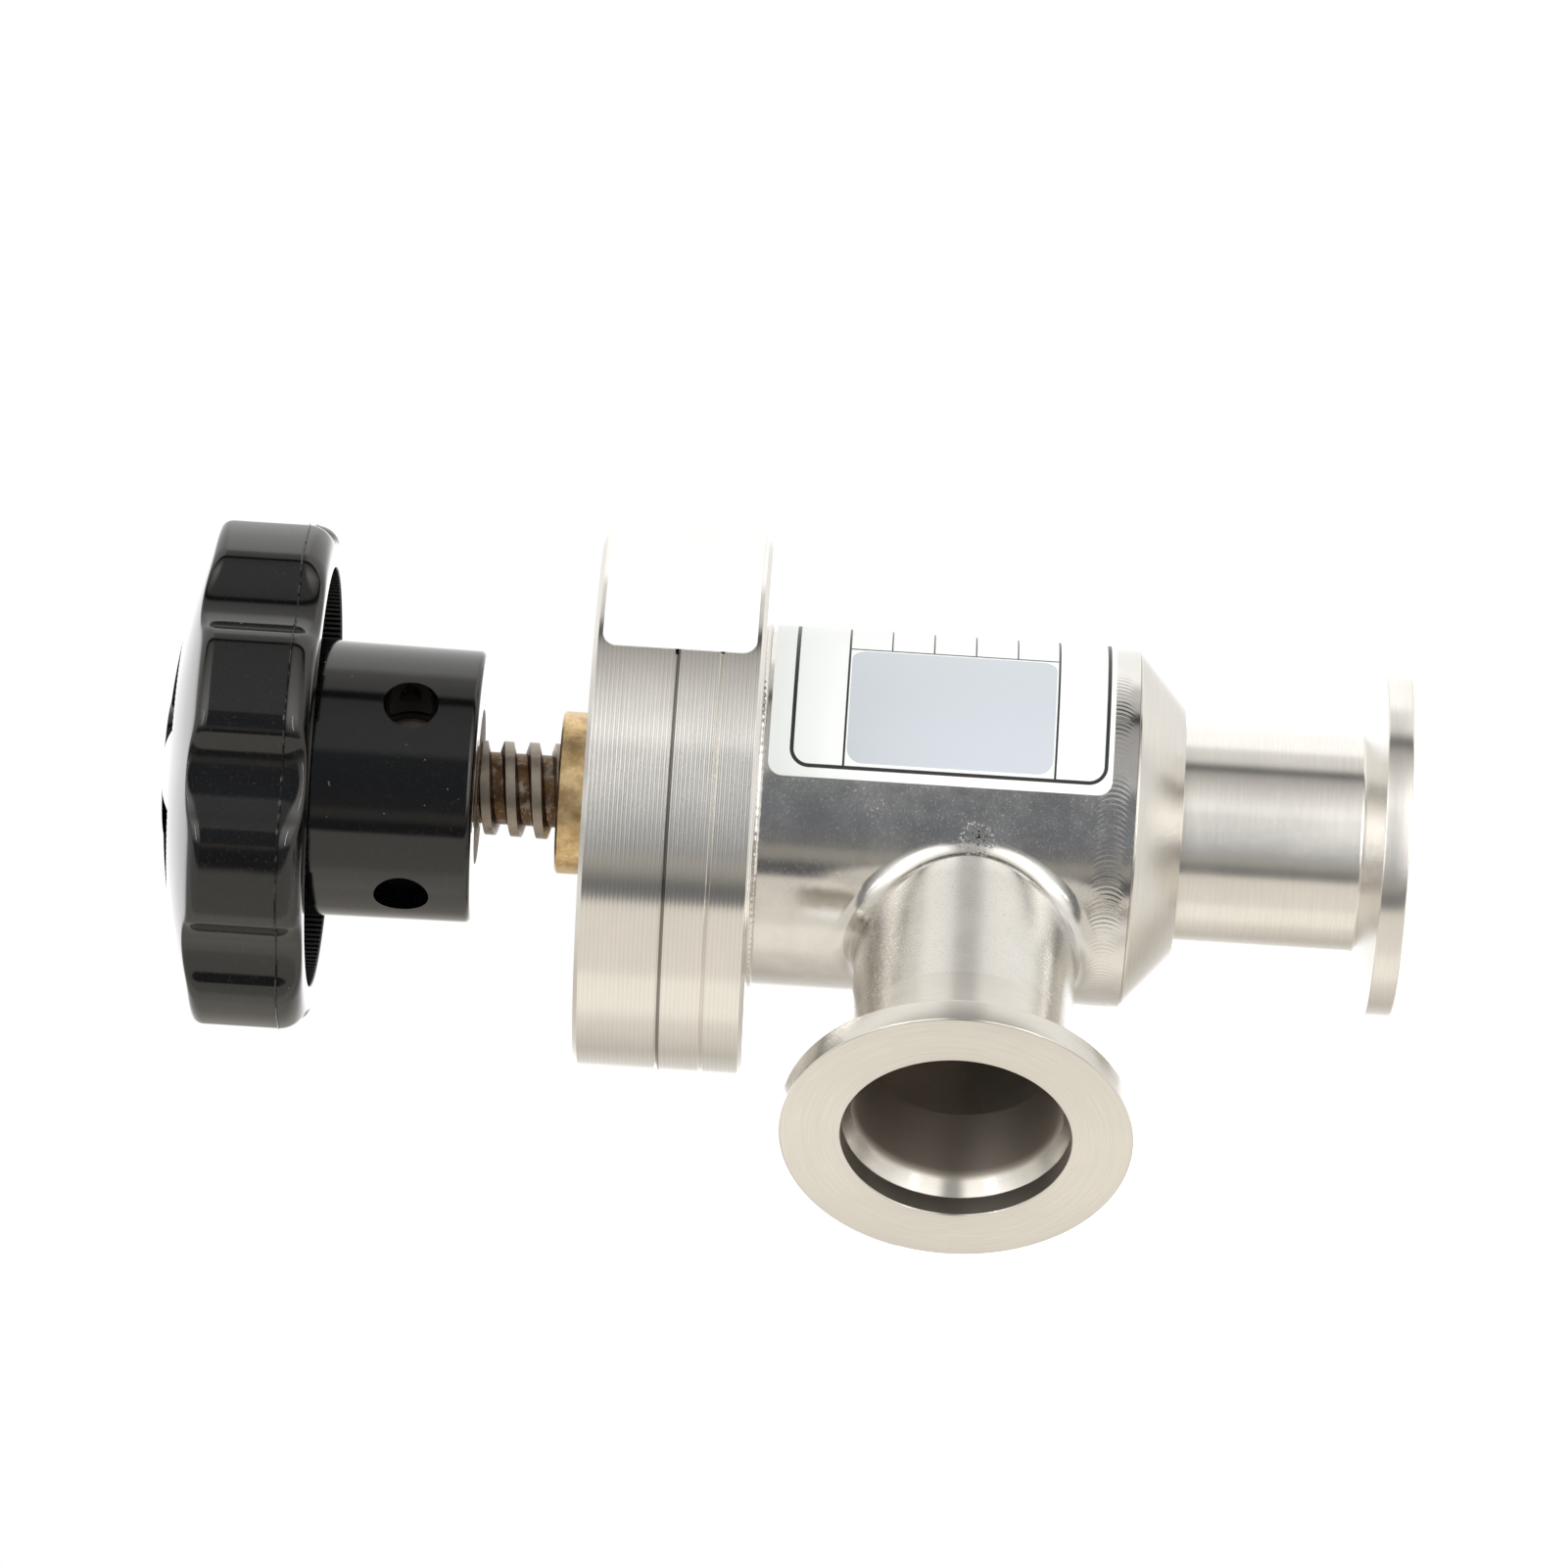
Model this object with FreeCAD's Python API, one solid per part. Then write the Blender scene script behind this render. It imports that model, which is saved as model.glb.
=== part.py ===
import FreeCAD, Part
import math
import os

# Manual right-angle vacuum valve with a bellows-sealed stem and two clamp flange ports.
# Origin: centre of the end port's sealing face. +Z runs up the stem to the handwheel,
# and the side port points along -Y. Lengths are in millimetres, angles in degrees.
# The valve is drawn fully open: its disc is VALVE_LIFT above the seat.

# Clamp flange ports
PORT_FLANGE_WIDTH = 7.3
PORT_RIM = 3.0
PORT_BACK_ANGLE = 15.0
EDGE_BREAK = 0.25
RECESS_STEP = 1.4
RECESS_DEPTH = 2.6
RECESS_RAMP = 2.5
TUBE_D = 25.4
TUBE_WALL = 1.0
END_TUBE_LENGTH = 26.0
END_TUBE_ENTRY = 3.0
SIDE_PORT_REACH = 50.0
SIDE_PORT_HEIGHT = 50.0
SIDE_STUB_LENGTH = 14.0

# Body
BODY_D = 42.0
BODY_WALL = 2.0
BODY_ABOVE_PORT = 25.0
SHOULDER_FACE_WIDTH = 2.1
SHOULDER_LENGTH = 5.7
BRANCH_FILLET = 2.8
SEAT_BASE = 2.0
SEAT_RISE = 0.8
SEAT_WIDTH = 2.6

# Flange stack
STACK_WIDTH = 10.7
STACK_CHAMFER = 0.5
BODY_FLANGE_T = 4.8
BODY_FLANGE_ENTRY = 2.5
BELLOWS_FLANGE_T = 5.0
COVER_T = 9.8
SEAM_WIDTH = 0.4
SEAM_DEPTH = 0.6
WELD_LEG = 1.0
GROOVE_DEPTH = 1.9
GROOVE_WIDTH = 2.6
GROOVE_OFFSET = 2.2
SCREW_D = 4.0
SCREW_HEAD_D = 7.0
SCREW_HEAD_H = 4.0
SCREW_SOCKET = 3.0
SCREW_SOCKET_DEPTH = 2.0
SCREW_COUNT = 6
SCREW_EDGE = 4.7
SCREW_CLEARANCE = 0.2
SCREW_SINK = 0.4

# Stem, its nut and its thread
THREAD_D = 11.8
THREAD_PITCH = 3.0
THREAD_DEPTH = 1.7
THREAD_CREST = 1.1
THREAD_FLANK_ANGLE = 15.0
THREAD_CLEARANCE = 0.1
THREAD_OFFSET = 0.5
NUT_FLANGE_D = 19.0
NUT_FLANGE_T = 3.7
NUT_SHANK_D = 16.0
NUT_INSET = 1.0
STEM_TOP_D = 9.5
STEM_LOWER_D = 8.0
STEM_HEAD_D = 9.0
STEM_HEAD_H = 2.5
STEM_NECK_D = 6.0
STEM_NECK_H = 4.5

# Disc carriage inside the body
VALVE_LIFT = 7.5
SEAT_GAP = 0.2
DISC_LIP = 1.1
DISC_T = 5.0
DISC_SEAL_OFFSET = 1.9
DISC_SEAL_SECTION = 2.6
DISC_SEAL_PROUD = 0.5
CARRIER_FLANGE_T = 2.5
CARRIER_WALL = 2.1
CARRIER_SPIGOT_D = 10.0
SOCKET_CLEARANCE = 0.6
SOCKET_FLOOR = 1.8
BALL_D = 5.0
RETAINER_T = 2.6
RETAINER_PLAY = 0.2
RETAINER_SLOT = 0.3
RETAINER_SCREW_D = 4.0
RETAINER_SCREW_HEAD_D = 8.0
BELLOWS_FOLD = 4.2
BELLOWS_CLEARANCE = 1.1
BELLOWS_WALL = 0.9
BELLOWS_COLLAR = 1.2
BELLOWS_FOLDS = 11

# Handwheel
WHEEL_D = 60.4
RIM_HEIGHT = 12.83
RIM_BACK_ROUND = 3.0
RIM_FRONT_ROUND = 1.7
DOME_RADIUS = 83.0
SCALLOP_COUNT = 8
SCALLOP_DEPTH = 2.7
SCALLOP_ANGLE = 22.0
SCALLOP_START = -45.4
HUB_D = 31.86
HUB_BASE_D = 32.3
HUB_LENGTH = 18.3
HUB_ROUND = 0.8
HUB_GAP_CLOSED = 1.9
RIM_WIDTH = 5.7
BACK_RECESS_DEPTH = 6.0
POCKET_INNER_R = 8.0
POCKET_OUTER_R = 18.0
POCKET_ANGLE = 60.0
POCKET_FLOOR = 10.9
POCKET_CORNER = 1.2
BUSHING_D = 18.0
BUSHING_LENGTH = 21.0
CROSS_HOLE_D = 6.4
CROSS_HOLE_HEIGHT = 7.9
CROSS_HOLE_START = -9.0
SET_SCREW_D = 5.0
SET_SCREW_LENGTH = 4.2
SET_SCREW_SOCKET = 2.5
SET_SCREW_SOCKET_DEPTH = 1.8

# Labels
LABEL_T = 0.12
LABEL_BRANCH_GAP = 8.43
LABEL_SPAN = 134.0
LABEL_MARGIN_LOW = 2.8
LABEL_CORNER = 1.7
STICKER_START = -11.0
STICKER_SPAN = 72.0
STICKER_MARGIN = 1.0

# Heights along the stem axis, worked out from the sizes above
SHOULDER_Z = END_TUBE_LENGTH
SHELL_Z = SHOULDER_Z + SHOULDER_LENGTH
SEAT_FLOOR_Z = SHELL_Z + SEAT_BASE
SEAT_Z = SEAT_FLOOR_Z + SEAT_RISE
BODY_FLANGE_Z = SIDE_PORT_HEIGHT + BODY_ABOVE_PORT
BELLOWS_FLANGE_Z = BODY_FLANGE_Z + BODY_FLANGE_T
COVER_Z = BELLOWS_FLANGE_Z + BELLOWS_FLANGE_T
COVER_TOP_Z = COVER_Z + COVER_T
NUT_Z = COVER_Z + NUT_INSET
NUT_TOP_Z = COVER_TOP_Z + NUT_FLANGE_T
HUB_Z = NUT_TOP_Z + VALVE_LIFT + HUB_GAP_CLOSED
RIM_Z = HUB_Z + HUB_LENGTH
DISC_Z = SEAT_Z + VALVE_LIFT + SEAT_GAP + DISC_SEAL_PROUD
CARRIER_Z = DISC_Z + DISC_T
BELLOWS_Z = CARRIER_Z + CARRIER_FLANGE_T
BALL_Z = CARRIER_Z + SOCKET_FLOOR + BALL_D / 2
STEM_END_Z = BALL_Z + BALL_D / 2
NECK_Z = STEM_END_Z + STEM_HEAD_H
RETAINER_Z = NECK_Z + RETAINER_PLAY
LOWER_STEM_Z = NECK_Z + STEM_NECK_H

# Radii shared by pieces that fit together
TUBE_R = TUBE_D / 2
TUBE_BORE_R = TUBE_R - TUBE_WALL
PORT_FLANGE_R = TUBE_R + PORT_FLANGE_WIDTH
RECESS_R = TUBE_BORE_R + RECESS_STEP
SHOULDER_FACE_R = TUBE_R + SHOULDER_FACE_WIDTH
BODY_R = BODY_D / 2
BODY_BORE_R = BODY_R - BODY_WALL
STACK_R = BODY_R + STACK_WIDTH
THREAD_R = THREAD_D / 2
ROOT_R = THREAD_R - THREAD_DEPTH
FLANK = THREAD_DEPTH * math.tan(math.radians(THREAD_FLANK_ANGLE))
SCREW_CIRCLE_R = STACK_R - SCREW_EDGE
SCREW_HEAD_Z = COVER_TOP_Z - SCREW_SINK - SCREW_HEAD_H
SEAL_R = BODY_R + GROOVE_OFFSET
SOCKET_R = STEM_HEAD_D / 2 + SOCKET_CLEARANCE
CARRIER_TUBE_R = SOCKET_R + CARRIER_WALL
BELLOWS_BORE_R = CARRIER_TUBE_R + BELLOWS_CLEARANCE
BELLOWS_R = BELLOWS_BORE_R + BELLOWS_FOLD
DISC_SEAL_R = TUBE_BORE_R + DISC_SEAL_OFFSET
DISC_R = DISC_SEAL_R + DISC_SEAL_SECTION / 2 + DISC_LIP
DISC_GROOVE_DEPTH = DISC_SEAL_SECTION - DISC_SEAL_PROUD
WHEEL_R = WHEEL_D / 2
BACK_RECESS_R = WHEEL_R - RIM_WIDTH
CROSS_HOLE_Z = HUB_Z + CROSS_HOLE_HEIGHT

# Angle where the body label starts, beside the branch and its fillet
LABEL_START = math.degrees(math.asin((TUBE_R + BRANCH_FILLET) / BODY_R)) - 90 + LABEL_BRANCH_GAP

UP = FreeCAD.Vector(0, 0, 1)
CENTRE = FreeCAD.Vector(0, 0, 0)


def at(x, y, z):
    return FreeCAD.Vector(x, y, z)


def polar(radius, angle, z):
    turn = math.radians(angle)
    return at(radius * math.cos(turn), radius * math.sin(turn), z)


def cylinder(radius, low, high):
    return Part.makeCylinder(radius, high - low, at(0, 0, low))


def ring(inner, outer, low, high):
    return cylinder(outer, low, high).cut(cylinder(inner, low - 1, high + 1))


def turned(*outline):
    """Solid of revolution about the stem axis. An outline entry is a point (r, z), or a pair of
    points (through, end) that adds an arc."""
    edges = []
    start = outline[0]
    for step in outline[1:] + (outline[0],):
        if isinstance(step[0], tuple):
            through, end = step
            edges.append(Part.Arc(at(start[0], 0, start[1]), at(through[0], 0, through[1]),
                                  at(end[0], 0, end[1])).toShape())
        else:
            end = step
            edges.append(Part.makeLine(at(start[0], 0, start[1]), at(end[0], 0, end[1])))
        start = end
    return Part.Face(Part.Wire(edges)).revolve(CENTRE, UP, 360)


def corner_arc(centre, radius, start, end):
    """Arc entry for turned(), by its centre and the angles of its two ends."""
    def point(angle):
        turn = math.radians(angle)
        return (centre[0] + radius * math.cos(turn), centre[1] + radius * math.sin(turn))
    return (point((start + end) / 2), point(end))


def turn_about_stem(shape, angle):
    copy = shape.copy()
    copy.rotate(CENTRE, UP, angle)
    return copy


def hex_prism(across_flats, low, high):
    corner = across_flats / math.sqrt(3)
    points = [polar(corner, 60 * i, low) for i in range(7)]
    return Part.Face(Part.makePolygon(points)).extrude(at(0, 0, high - low))


def port_flange(length):
    """Clamp flange with its stub tube. The sealing face is at z = 0 and the tube runs up."""
    rim = PORT_FLANGE_R
    cone = PORT_FLANGE_WIDTH * math.tan(math.radians(PORT_BACK_ANGLE))
    return turned((RECESS_R, 0), (rim - EDGE_BREAK, 0), (rim, EDGE_BREAK), (rim, PORT_RIM - EDGE_BREAK),
                  (rim - EDGE_BREAK, PORT_RIM), (TUBE_R, PORT_RIM + cone), (TUBE_R, length),
                  (TUBE_BORE_R, length), (TUBE_BORE_R, RECESS_DEPTH + RECESS_RAMP),
                  (RECESS_R, RECESS_DEPTH))


def side_placed(shape):
    """Turn a shape drawn along +Z from the sealing face so that it becomes the side port."""
    placed = shape.copy()
    placed.rotate(CENTRE, at(1, 0, 0), -90)
    placed.translate(at(0, -SIDE_PORT_REACH, SIDE_PORT_HEIGHT))
    return placed


def seat_cap():
    """Conical shoulder that joins the end tube to the body and carries the raised seat."""
    bore = TUBE_BORE_R
    return turned((TUBE_R, SHOULDER_Z), (SHOULDER_FACE_R, SHOULDER_Z), (BODY_R, SHELL_Z),
                  (BODY_BORE_R, SHELL_Z), (BODY_BORE_R, SEAT_FLOOR_Z),
                  (bore + SEAT_WIDTH + SEAT_RISE, SEAT_FLOOR_Z), (bore + SEAT_WIDTH, SEAT_Z),
                  (bore, SEAT_Z), (bore, SHOULDER_Z + END_TUBE_ENTRY),
                  (TUBE_R, SHOULDER_Z + END_TUBE_ENTRY))


def body_shell():
    """Body tube with its drawn side branch, rounded where the two meet."""
    top = BODY_FLANGE_Z + BODY_FLANGE_ENTRY
    branch_end = SIDE_PORT_REACH - SIDE_STUB_LENGTH
    origin = at(0, 0, SIDE_PORT_HEIGHT)
    outside = cylinder(BODY_R, SHELL_Z, top)
    outside = outside.fuse(Part.makeCylinder(TUBE_R, branch_end, origin, at(0, -1, 0)))
    joint = [edge for edge in outside.Edges
             if -BODY_R - 1 < edge.BoundBox.YMin and edge.BoundBox.YMax < -BODY_R / 2]
    outside = outside.makeFillet(BRANCH_FILLET, joint)
    inside = cylinder(BODY_BORE_R, SHELL_Z - 1, top + 1)
    inside = inside.fuse(Part.makeCylinder(TUBE_BORE_R, branch_end + 1, origin, at(0, -1, 0)))
    return outside.cut(inside)


def drill_screw_holes(shape, radius, low, high):
    for i in range(SCREW_COUNT):
        foot = polar(SCREW_CIRCLE_R, (i + 0.5) * 360 / SCREW_COUNT, low)
        shape = shape.cut(Part.makeCylinder(radius, high - low, foot))
    return shape


def body_flange():
    """Lower ring of the flange stack, welded to the body and grooved for the seal."""
    entry = BODY_FLANGE_Z + BODY_FLANGE_ENTRY
    outer = STACK_R
    top = BELLOWS_FLANGE_Z
    groove = GROOVE_WIDTH / 2
    blank = turned((BODY_R, BODY_FLANGE_Z), (outer - STACK_CHAMFER, BODY_FLANGE_Z),
                   (outer, BODY_FLANGE_Z + STACK_CHAMFER), (outer, top - EDGE_BREAK),
                   (outer - EDGE_BREAK, top), (SEAL_R + groove, top),
                   (SEAL_R + groove, top - GROOVE_DEPTH), (SEAL_R - groove, top - GROOVE_DEPTH),
                   (SEAL_R - groove, top), (BODY_BORE_R, top), (BODY_BORE_R, entry),
                   (BODY_R, entry))
    return drill_screw_holes(blank, SCREW_D / 2, BODY_FLANGE_Z - 1, top + 1)


def flange_weld():
    inner = BODY_R
    bulge = WELD_LEG * 0.62
    return turned((inner, BODY_FLANGE_Z - WELD_LEG),
                  ((inner + bulge, BODY_FLANGE_Z - bulge), (inner + WELD_LEG, BODY_FLANGE_Z)),
                  (inner, BODY_FLANGE_Z))


def flange_seal():
    return Part.makeTorus(SEAL_R, GROOVE_DEPTH / 2, at(0, 0, BELLOWS_FLANGE_Z - GROOVE_DEPTH / 2))


def bellows_flange():
    outer = STACK_R
    blank = turned((BELLOWS_BORE_R, BELLOWS_FLANGE_Z), (outer - EDGE_BREAK, BELLOWS_FLANGE_Z),
                   (outer, BELLOWS_FLANGE_Z + EDGE_BREAK), (outer, COVER_Z), (BELLOWS_BORE_R, COVER_Z))
    return drill_screw_holes(blank, SCREW_D / 2 + SCREW_CLEARANCE, BELLOWS_FLANGE_Z - 1, COVER_Z + 1)


def bonnet_cover():
    """Upper ring of the stack. A shallow step round its lower edge leaves the dark seam."""
    outer = STACK_R
    blank = turned((NUT_SHANK_D / 2, COVER_Z), (outer - SEAM_DEPTH, COVER_Z),
                   (outer - SEAM_DEPTH, COVER_Z + SEAM_WIDTH), (outer, COVER_Z + SEAM_WIDTH),
                   (outer, COVER_TOP_Z - STACK_CHAMFER), (outer - STACK_CHAMFER, COVER_TOP_Z),
                   (NUT_SHANK_D / 2, COVER_TOP_Z))
    blank = drill_screw_holes(blank, SCREW_D / 2 + SCREW_CLEARANCE, COVER_Z - 1, COVER_TOP_Z)
    return drill_screw_holes(blank, SCREW_HEAD_D / 2 + SCREW_CLEARANCE, SCREW_HEAD_Z, COVER_TOP_Z + 1)


def bonnet_screws():
    head = cylinder(SCREW_HEAD_D / 2, SCREW_HEAD_Z, SCREW_HEAD_Z + SCREW_HEAD_H)
    top = SCREW_HEAD_Z + SCREW_HEAD_H
    head = head.cut(hex_prism(SCREW_SOCKET, top - SCREW_SOCKET_DEPTH, top + 1))
    screw = head.fuse(cylinder(SCREW_D / 2, BODY_FLANGE_Z, SCREW_HEAD_Z)).removeSplitter()
    screw.translate(at(SCREW_CIRCLE_R, 0, 0))
    return Part.makeCompound([turn_about_stem(screw, (i + 0.5) * 360 / SCREW_COUNT)
                              for i in range(SCREW_COUNT)])


def bellows():
    """Folded sleeve from the disc carrier up to the bellows flange, with a short collar each end."""
    inner = BELLOWS_BORE_R
    outer = BELLOWS_R - BELLOWS_WALL
    low = BELLOWS_Z + BELLOWS_COLLAR
    fold = (BELLOWS_FLANGE_Z - BELLOWS_COLLAR - low) / BELLOWS_FOLDS
    wave = [(inner, BELLOWS_Z), (inner, low)]
    for i in range(BELLOWS_FOLDS):
        wave += [(outer, low + (i + 0.5) * fold), (inner, low + (i + 1) * fold)]
    wave.append((inner, BELLOWS_FLANGE_Z))
    outside = [(r + BELLOWS_WALL, z) for r, z in reversed(wave)]
    return turned(*(wave + outside))


def threaded_rod(low, high, grow):
    """Right-hand trapezoidal thread on its root cylinder. The nut's tool grows by the clearance."""
    sink = 0.3
    root = ROOT_R + grow
    crest = THREAD_CREST / 2 + grow
    slope = (THREAD_DEPTH + sink) / THREAD_DEPTH * FLANK
    outline = [at(root - sink, 0, -crest - slope), at(THREAD_R + grow, 0, -crest),
               at(THREAD_R + grow, 0, crest), at(root - sink, 0, crest + slope)]
    tooth = Part.Wire(Part.makePolygon(outline + outline[:1]))
    lead_in = THREAD_PITCH * math.ceil((low - HUB_Z) / THREAD_PITCH - 1) - THREAD_OFFSET
    tooth.translate(at(0, 0, HUB_Z + lead_in))
    turns = math.ceil((high - low) / THREAD_PITCH) + 2
    helix = Part.makeLongHelix(THREAD_PITCH, turns * THREAD_PITCH, root)
    helix.translate(at(0, 0, HUB_Z + lead_in))
    ridge = Part.Wire(helix.Edges).makePipeShell([tooth], True, True)
    ridge = ridge.common(cylinder(THREAD_D, low, high))
    return cylinder(root, low, high).fuse(ridge)


def stem():
    """Threaded stem, its head and neck for the disc carrier, and its plain end in the handwheel."""
    thread_low = NUT_Z - THREAD_PITCH / 2
    thread_high = HUB_Z - EDGE_BREAK
    top = HUB_Z + BUSHING_LENGTH - THREAD_PITCH
    rod = threaded_rod(thread_low, thread_high, 0)
    lower = turned((0, STEM_END_Z), (STEM_HEAD_D / 2, STEM_END_Z), (STEM_HEAD_D / 2, NECK_Z),
                   (STEM_NECK_D / 2, NECK_Z), (STEM_NECK_D / 2, LOWER_STEM_Z),
                   (STEM_LOWER_D / 2, LOWER_STEM_Z), (STEM_LOWER_D / 2, thread_low), (0, thread_low))
    upper = cylinder(STEM_TOP_D / 2, thread_high, top)
    return rod.fuse([lower, upper]).removeSplitter()


def stem_nut():
    """Brass nut: a flange that rests on the cover and a shank pressed into it."""
    blank = turned((0, NUT_Z), (NUT_SHANK_D / 2, NUT_Z), (NUT_SHANK_D / 2, COVER_TOP_Z),
                   (NUT_FLANGE_D / 2, COVER_TOP_Z), (NUT_FLANGE_D / 2, NUT_TOP_Z - EDGE_BREAK),
                   (NUT_FLANGE_D / 2 - EDGE_BREAK, NUT_TOP_Z), (0, NUT_TOP_Z))
    return blank.cut(threaded_rod(NUT_Z - 1, NUT_TOP_Z + 1, THREAD_CLEARANCE))


def valve_disc():
    """Disc with a stepped underside that holds the seal round the retaining plate."""
    groove_top = DISC_Z + DISC_GROOVE_DEPTH
    groove_r = DISC_SEAL_R + DISC_SEAL_SECTION / 2
    spigot = CARRIER_SPIGOT_D / 2
    return turned((spigot, groove_top), (groove_r, groove_top), (groove_r, DISC_Z), (DISC_R, DISC_Z),
                  (DISC_R, CARRIER_Z - STACK_CHAMFER), (DISC_R - STACK_CHAMFER, CARRIER_Z),
                  (spigot, CARRIER_Z))


def disc_seal():
    radius = DISC_SEAL_SECTION / 2
    return Part.makeTorus(DISC_SEAL_R, radius, at(0, 0, DISC_Z - DISC_SEAL_PROUD + radius))


def screw_cone(grow):
    """Countersunk screw outline that the retaining plate's hole follows."""
    head = RETAINER_SCREW_HEAD_D / 2 + grow
    shank = RETAINER_SCREW_D / 2 + grow
    return turned((0, DISC_Z), (head, DISC_Z), (shank, DISC_Z + head - shank),
                  (shank, CARRIER_Z), (0, CARRIER_Z))


def seal_retainer():
    plate_r = DISC_SEAL_R - DISC_SEAL_SECTION / 2
    return cylinder(plate_r, DISC_Z, DISC_Z + DISC_GROOVE_DEPTH).cut(screw_cone(0))


def retainer_screw():
    return screw_cone(0).cut(hex_prism(SET_SCREW_SOCKET, DISC_Z - 1, DISC_Z + SET_SCREW_SOCKET_DEPTH))


def disc_carrier():
    """Flanged socket on top of the disc: it holds the stem's head and carries the bellows."""
    groove_top = DISC_Z + DISC_GROOVE_DEPTH
    top = RETAINER_Z + RETAINER_T
    floor = CARRIER_Z + SOCKET_FLOOR
    shank = RETAINER_SCREW_D / 2
    spigot = CARRIER_SPIGOT_D / 2
    return turned((shank, groove_top), (spigot, groove_top), (spigot, CARRIER_Z),
                  (BELLOWS_R, CARRIER_Z), (BELLOWS_R, BELLOWS_Z), (CARRIER_TUBE_R, BELLOWS_Z),
                  (CARRIER_TUBE_R, top), (SOCKET_R, top), (SOCKET_R, floor), (0, floor),
                  (0, CARRIER_Z), (shank, CARRIER_Z))


def stem_retainer():
    """Two half rings in the carrier's mouth that hold the stem's head down."""
    whole = ring(STEM_NECK_D / 2 + RETAINER_PLAY, SOCKET_R, RETAINER_Z, RETAINER_Z + RETAINER_T)
    slot = Part.makeBox(SOCKET_R * 3, RETAINER_SLOT, RETAINER_T + 2,
                        at(-SOCKET_R * 1.5, -RETAINER_SLOT / 2, RETAINER_Z - 1))
    return whole.cut(slot)


def wheel_rim():
    """Rounded rim with its domed front, cut by scallops that leave a grip all round."""
    crown_z = RIM_Z + RIM_HEIGHT - math.sqrt(DOME_RADIUS**2 - WHEEL_R**2)
    edge_r = WHEEL_R - RIM_FRONT_ROUND
    ball_r = DOME_RADIUS - RIM_FRONT_ROUND
    edge_z = crown_z + math.sqrt(ball_r**2 - edge_r**2)
    lean = math.degrees(math.asin(edge_r / ball_r))
    back = corner_arc((WHEEL_R - RIM_BACK_ROUND, RIM_Z + RIM_BACK_ROUND), RIM_BACK_ROUND, -90, 0)
    front = corner_arc((edge_r, edge_z), RIM_FRONT_ROUND, 0, 90 - lean)
    dome = corner_arc((0, crown_z), DOME_RADIUS, 90 - lean, 90)
    rim = turned((0, RIM_Z), (WHEEL_R - RIM_BACK_ROUND, RIM_Z), back, (WHEEL_R, edge_z), front, dome)
    half = math.radians(SCALLOP_ANGLE / 2)
    sag = WHEEL_R * math.cos(half) - (WHEEL_R - SCALLOP_DEPTH)
    scallop_r = ((WHEEL_R * math.sin(half))**2 + sag**2) / (2 * sag)
    reach = WHEEL_R - SCALLOP_DEPTH + scallop_r
    for i in range(SCALLOP_COUNT):
        centre = polar(reach, SCALLOP_START + i * 360 / SCALLOP_COUNT, RIM_Z - 1)
        rim = rim.cut(Part.makeCylinder(scallop_r, DOME_RADIUS, centre))
    return rim


def front_pocket():
    """One of the four sector-shaped pockets in the domed front."""
    half = POCKET_ANGLE / 2
    floor = RIM_Z + POCKET_FLOOR
    corners = [polar(r, a, floor) for r, a in ((POCKET_INNER_R, -half), (POCKET_OUTER_R, -half),
                                               (POCKET_OUTER_R, half), (POCKET_INNER_R, half))]
    edges = [Part.makeLine(corners[0], corners[1]),
             Part.Arc(corners[1], polar(POCKET_OUTER_R, 0, floor), corners[2]).toShape(),
             Part.makeLine(corners[2], corners[3]),
             Part.Arc(corners[3], polar(POCKET_INNER_R, 0, floor), corners[0]).toShape()]
    block = Part.Face(Part.Wire(edges)).extrude(at(0, 0, DOME_RADIUS))
    upright = [e for e in block.Edges if e.BoundBox.ZLength > DOME_RADIUS / 2]
    return block.makeFillet(POCKET_CORNER, upright)


def handwheel():
    """Moulded wheel: rim and dome, drafted hub, back recess, front pockets and cross holes."""
    recess_z = RIM_Z + BACK_RECESS_DEPTH
    wheel = wheel_rim().cut(cylinder(BACK_RECESS_R, RIM_Z - 1, recess_z))
    draft = (HUB_BASE_D - HUB_D) / 2 / HUB_LENGTH
    hub_r = HUB_D / 2
    deep = HUB_LENGTH + BACK_RECESS_DEPTH + 1
    hub = turned((0, HUB_Z), (hub_r - HUB_ROUND, HUB_Z),
                 corner_arc((hub_r - HUB_ROUND, HUB_Z + HUB_ROUND), HUB_ROUND, -90, 0),
                 (hub_r + draft * deep, HUB_Z + deep), (0, HUB_Z + deep))
    wheel = wheel.fuse(hub).cut(cylinder(BUSHING_D / 2, HUB_Z - 1, HUB_Z + BUSHING_LENGTH))
    pocket = front_pocket()
    for i in range(4):
        hole_axis = polar(1, CROSS_HOLE_START + 90 * i, 0)
        hole = Part.makeCylinder(CROSS_HOLE_D / 2, HUB_D, at(0, 0, CROSS_HOLE_Z), hole_axis)
        wheel = wheel.cut([hole, turn_about_stem(pocket, 90 * i)])
    return wheel


def set_screws():
    """Two opposed socket set screws that clamp the hub bushing to the stem."""
    tip = STEM_TOP_D / 2
    screw = cylinder(SET_SCREW_D / 2, tip, tip + SET_SCREW_LENGTH)
    mouth = tip + SET_SCREW_LENGTH
    screw = screw.cut(hex_prism(SET_SCREW_SOCKET, mouth - SET_SCREW_SOCKET_DEPTH, mouth + 1))
    screw.rotate(CENTRE, at(0, 1, 0), 90)
    screw.translate(at(0, 0, CROSS_HOLE_Z))
    return Part.makeCompound([turn_about_stem(screw, CROSS_HOLE_START + 180 * i) for i in range(2)])


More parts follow.
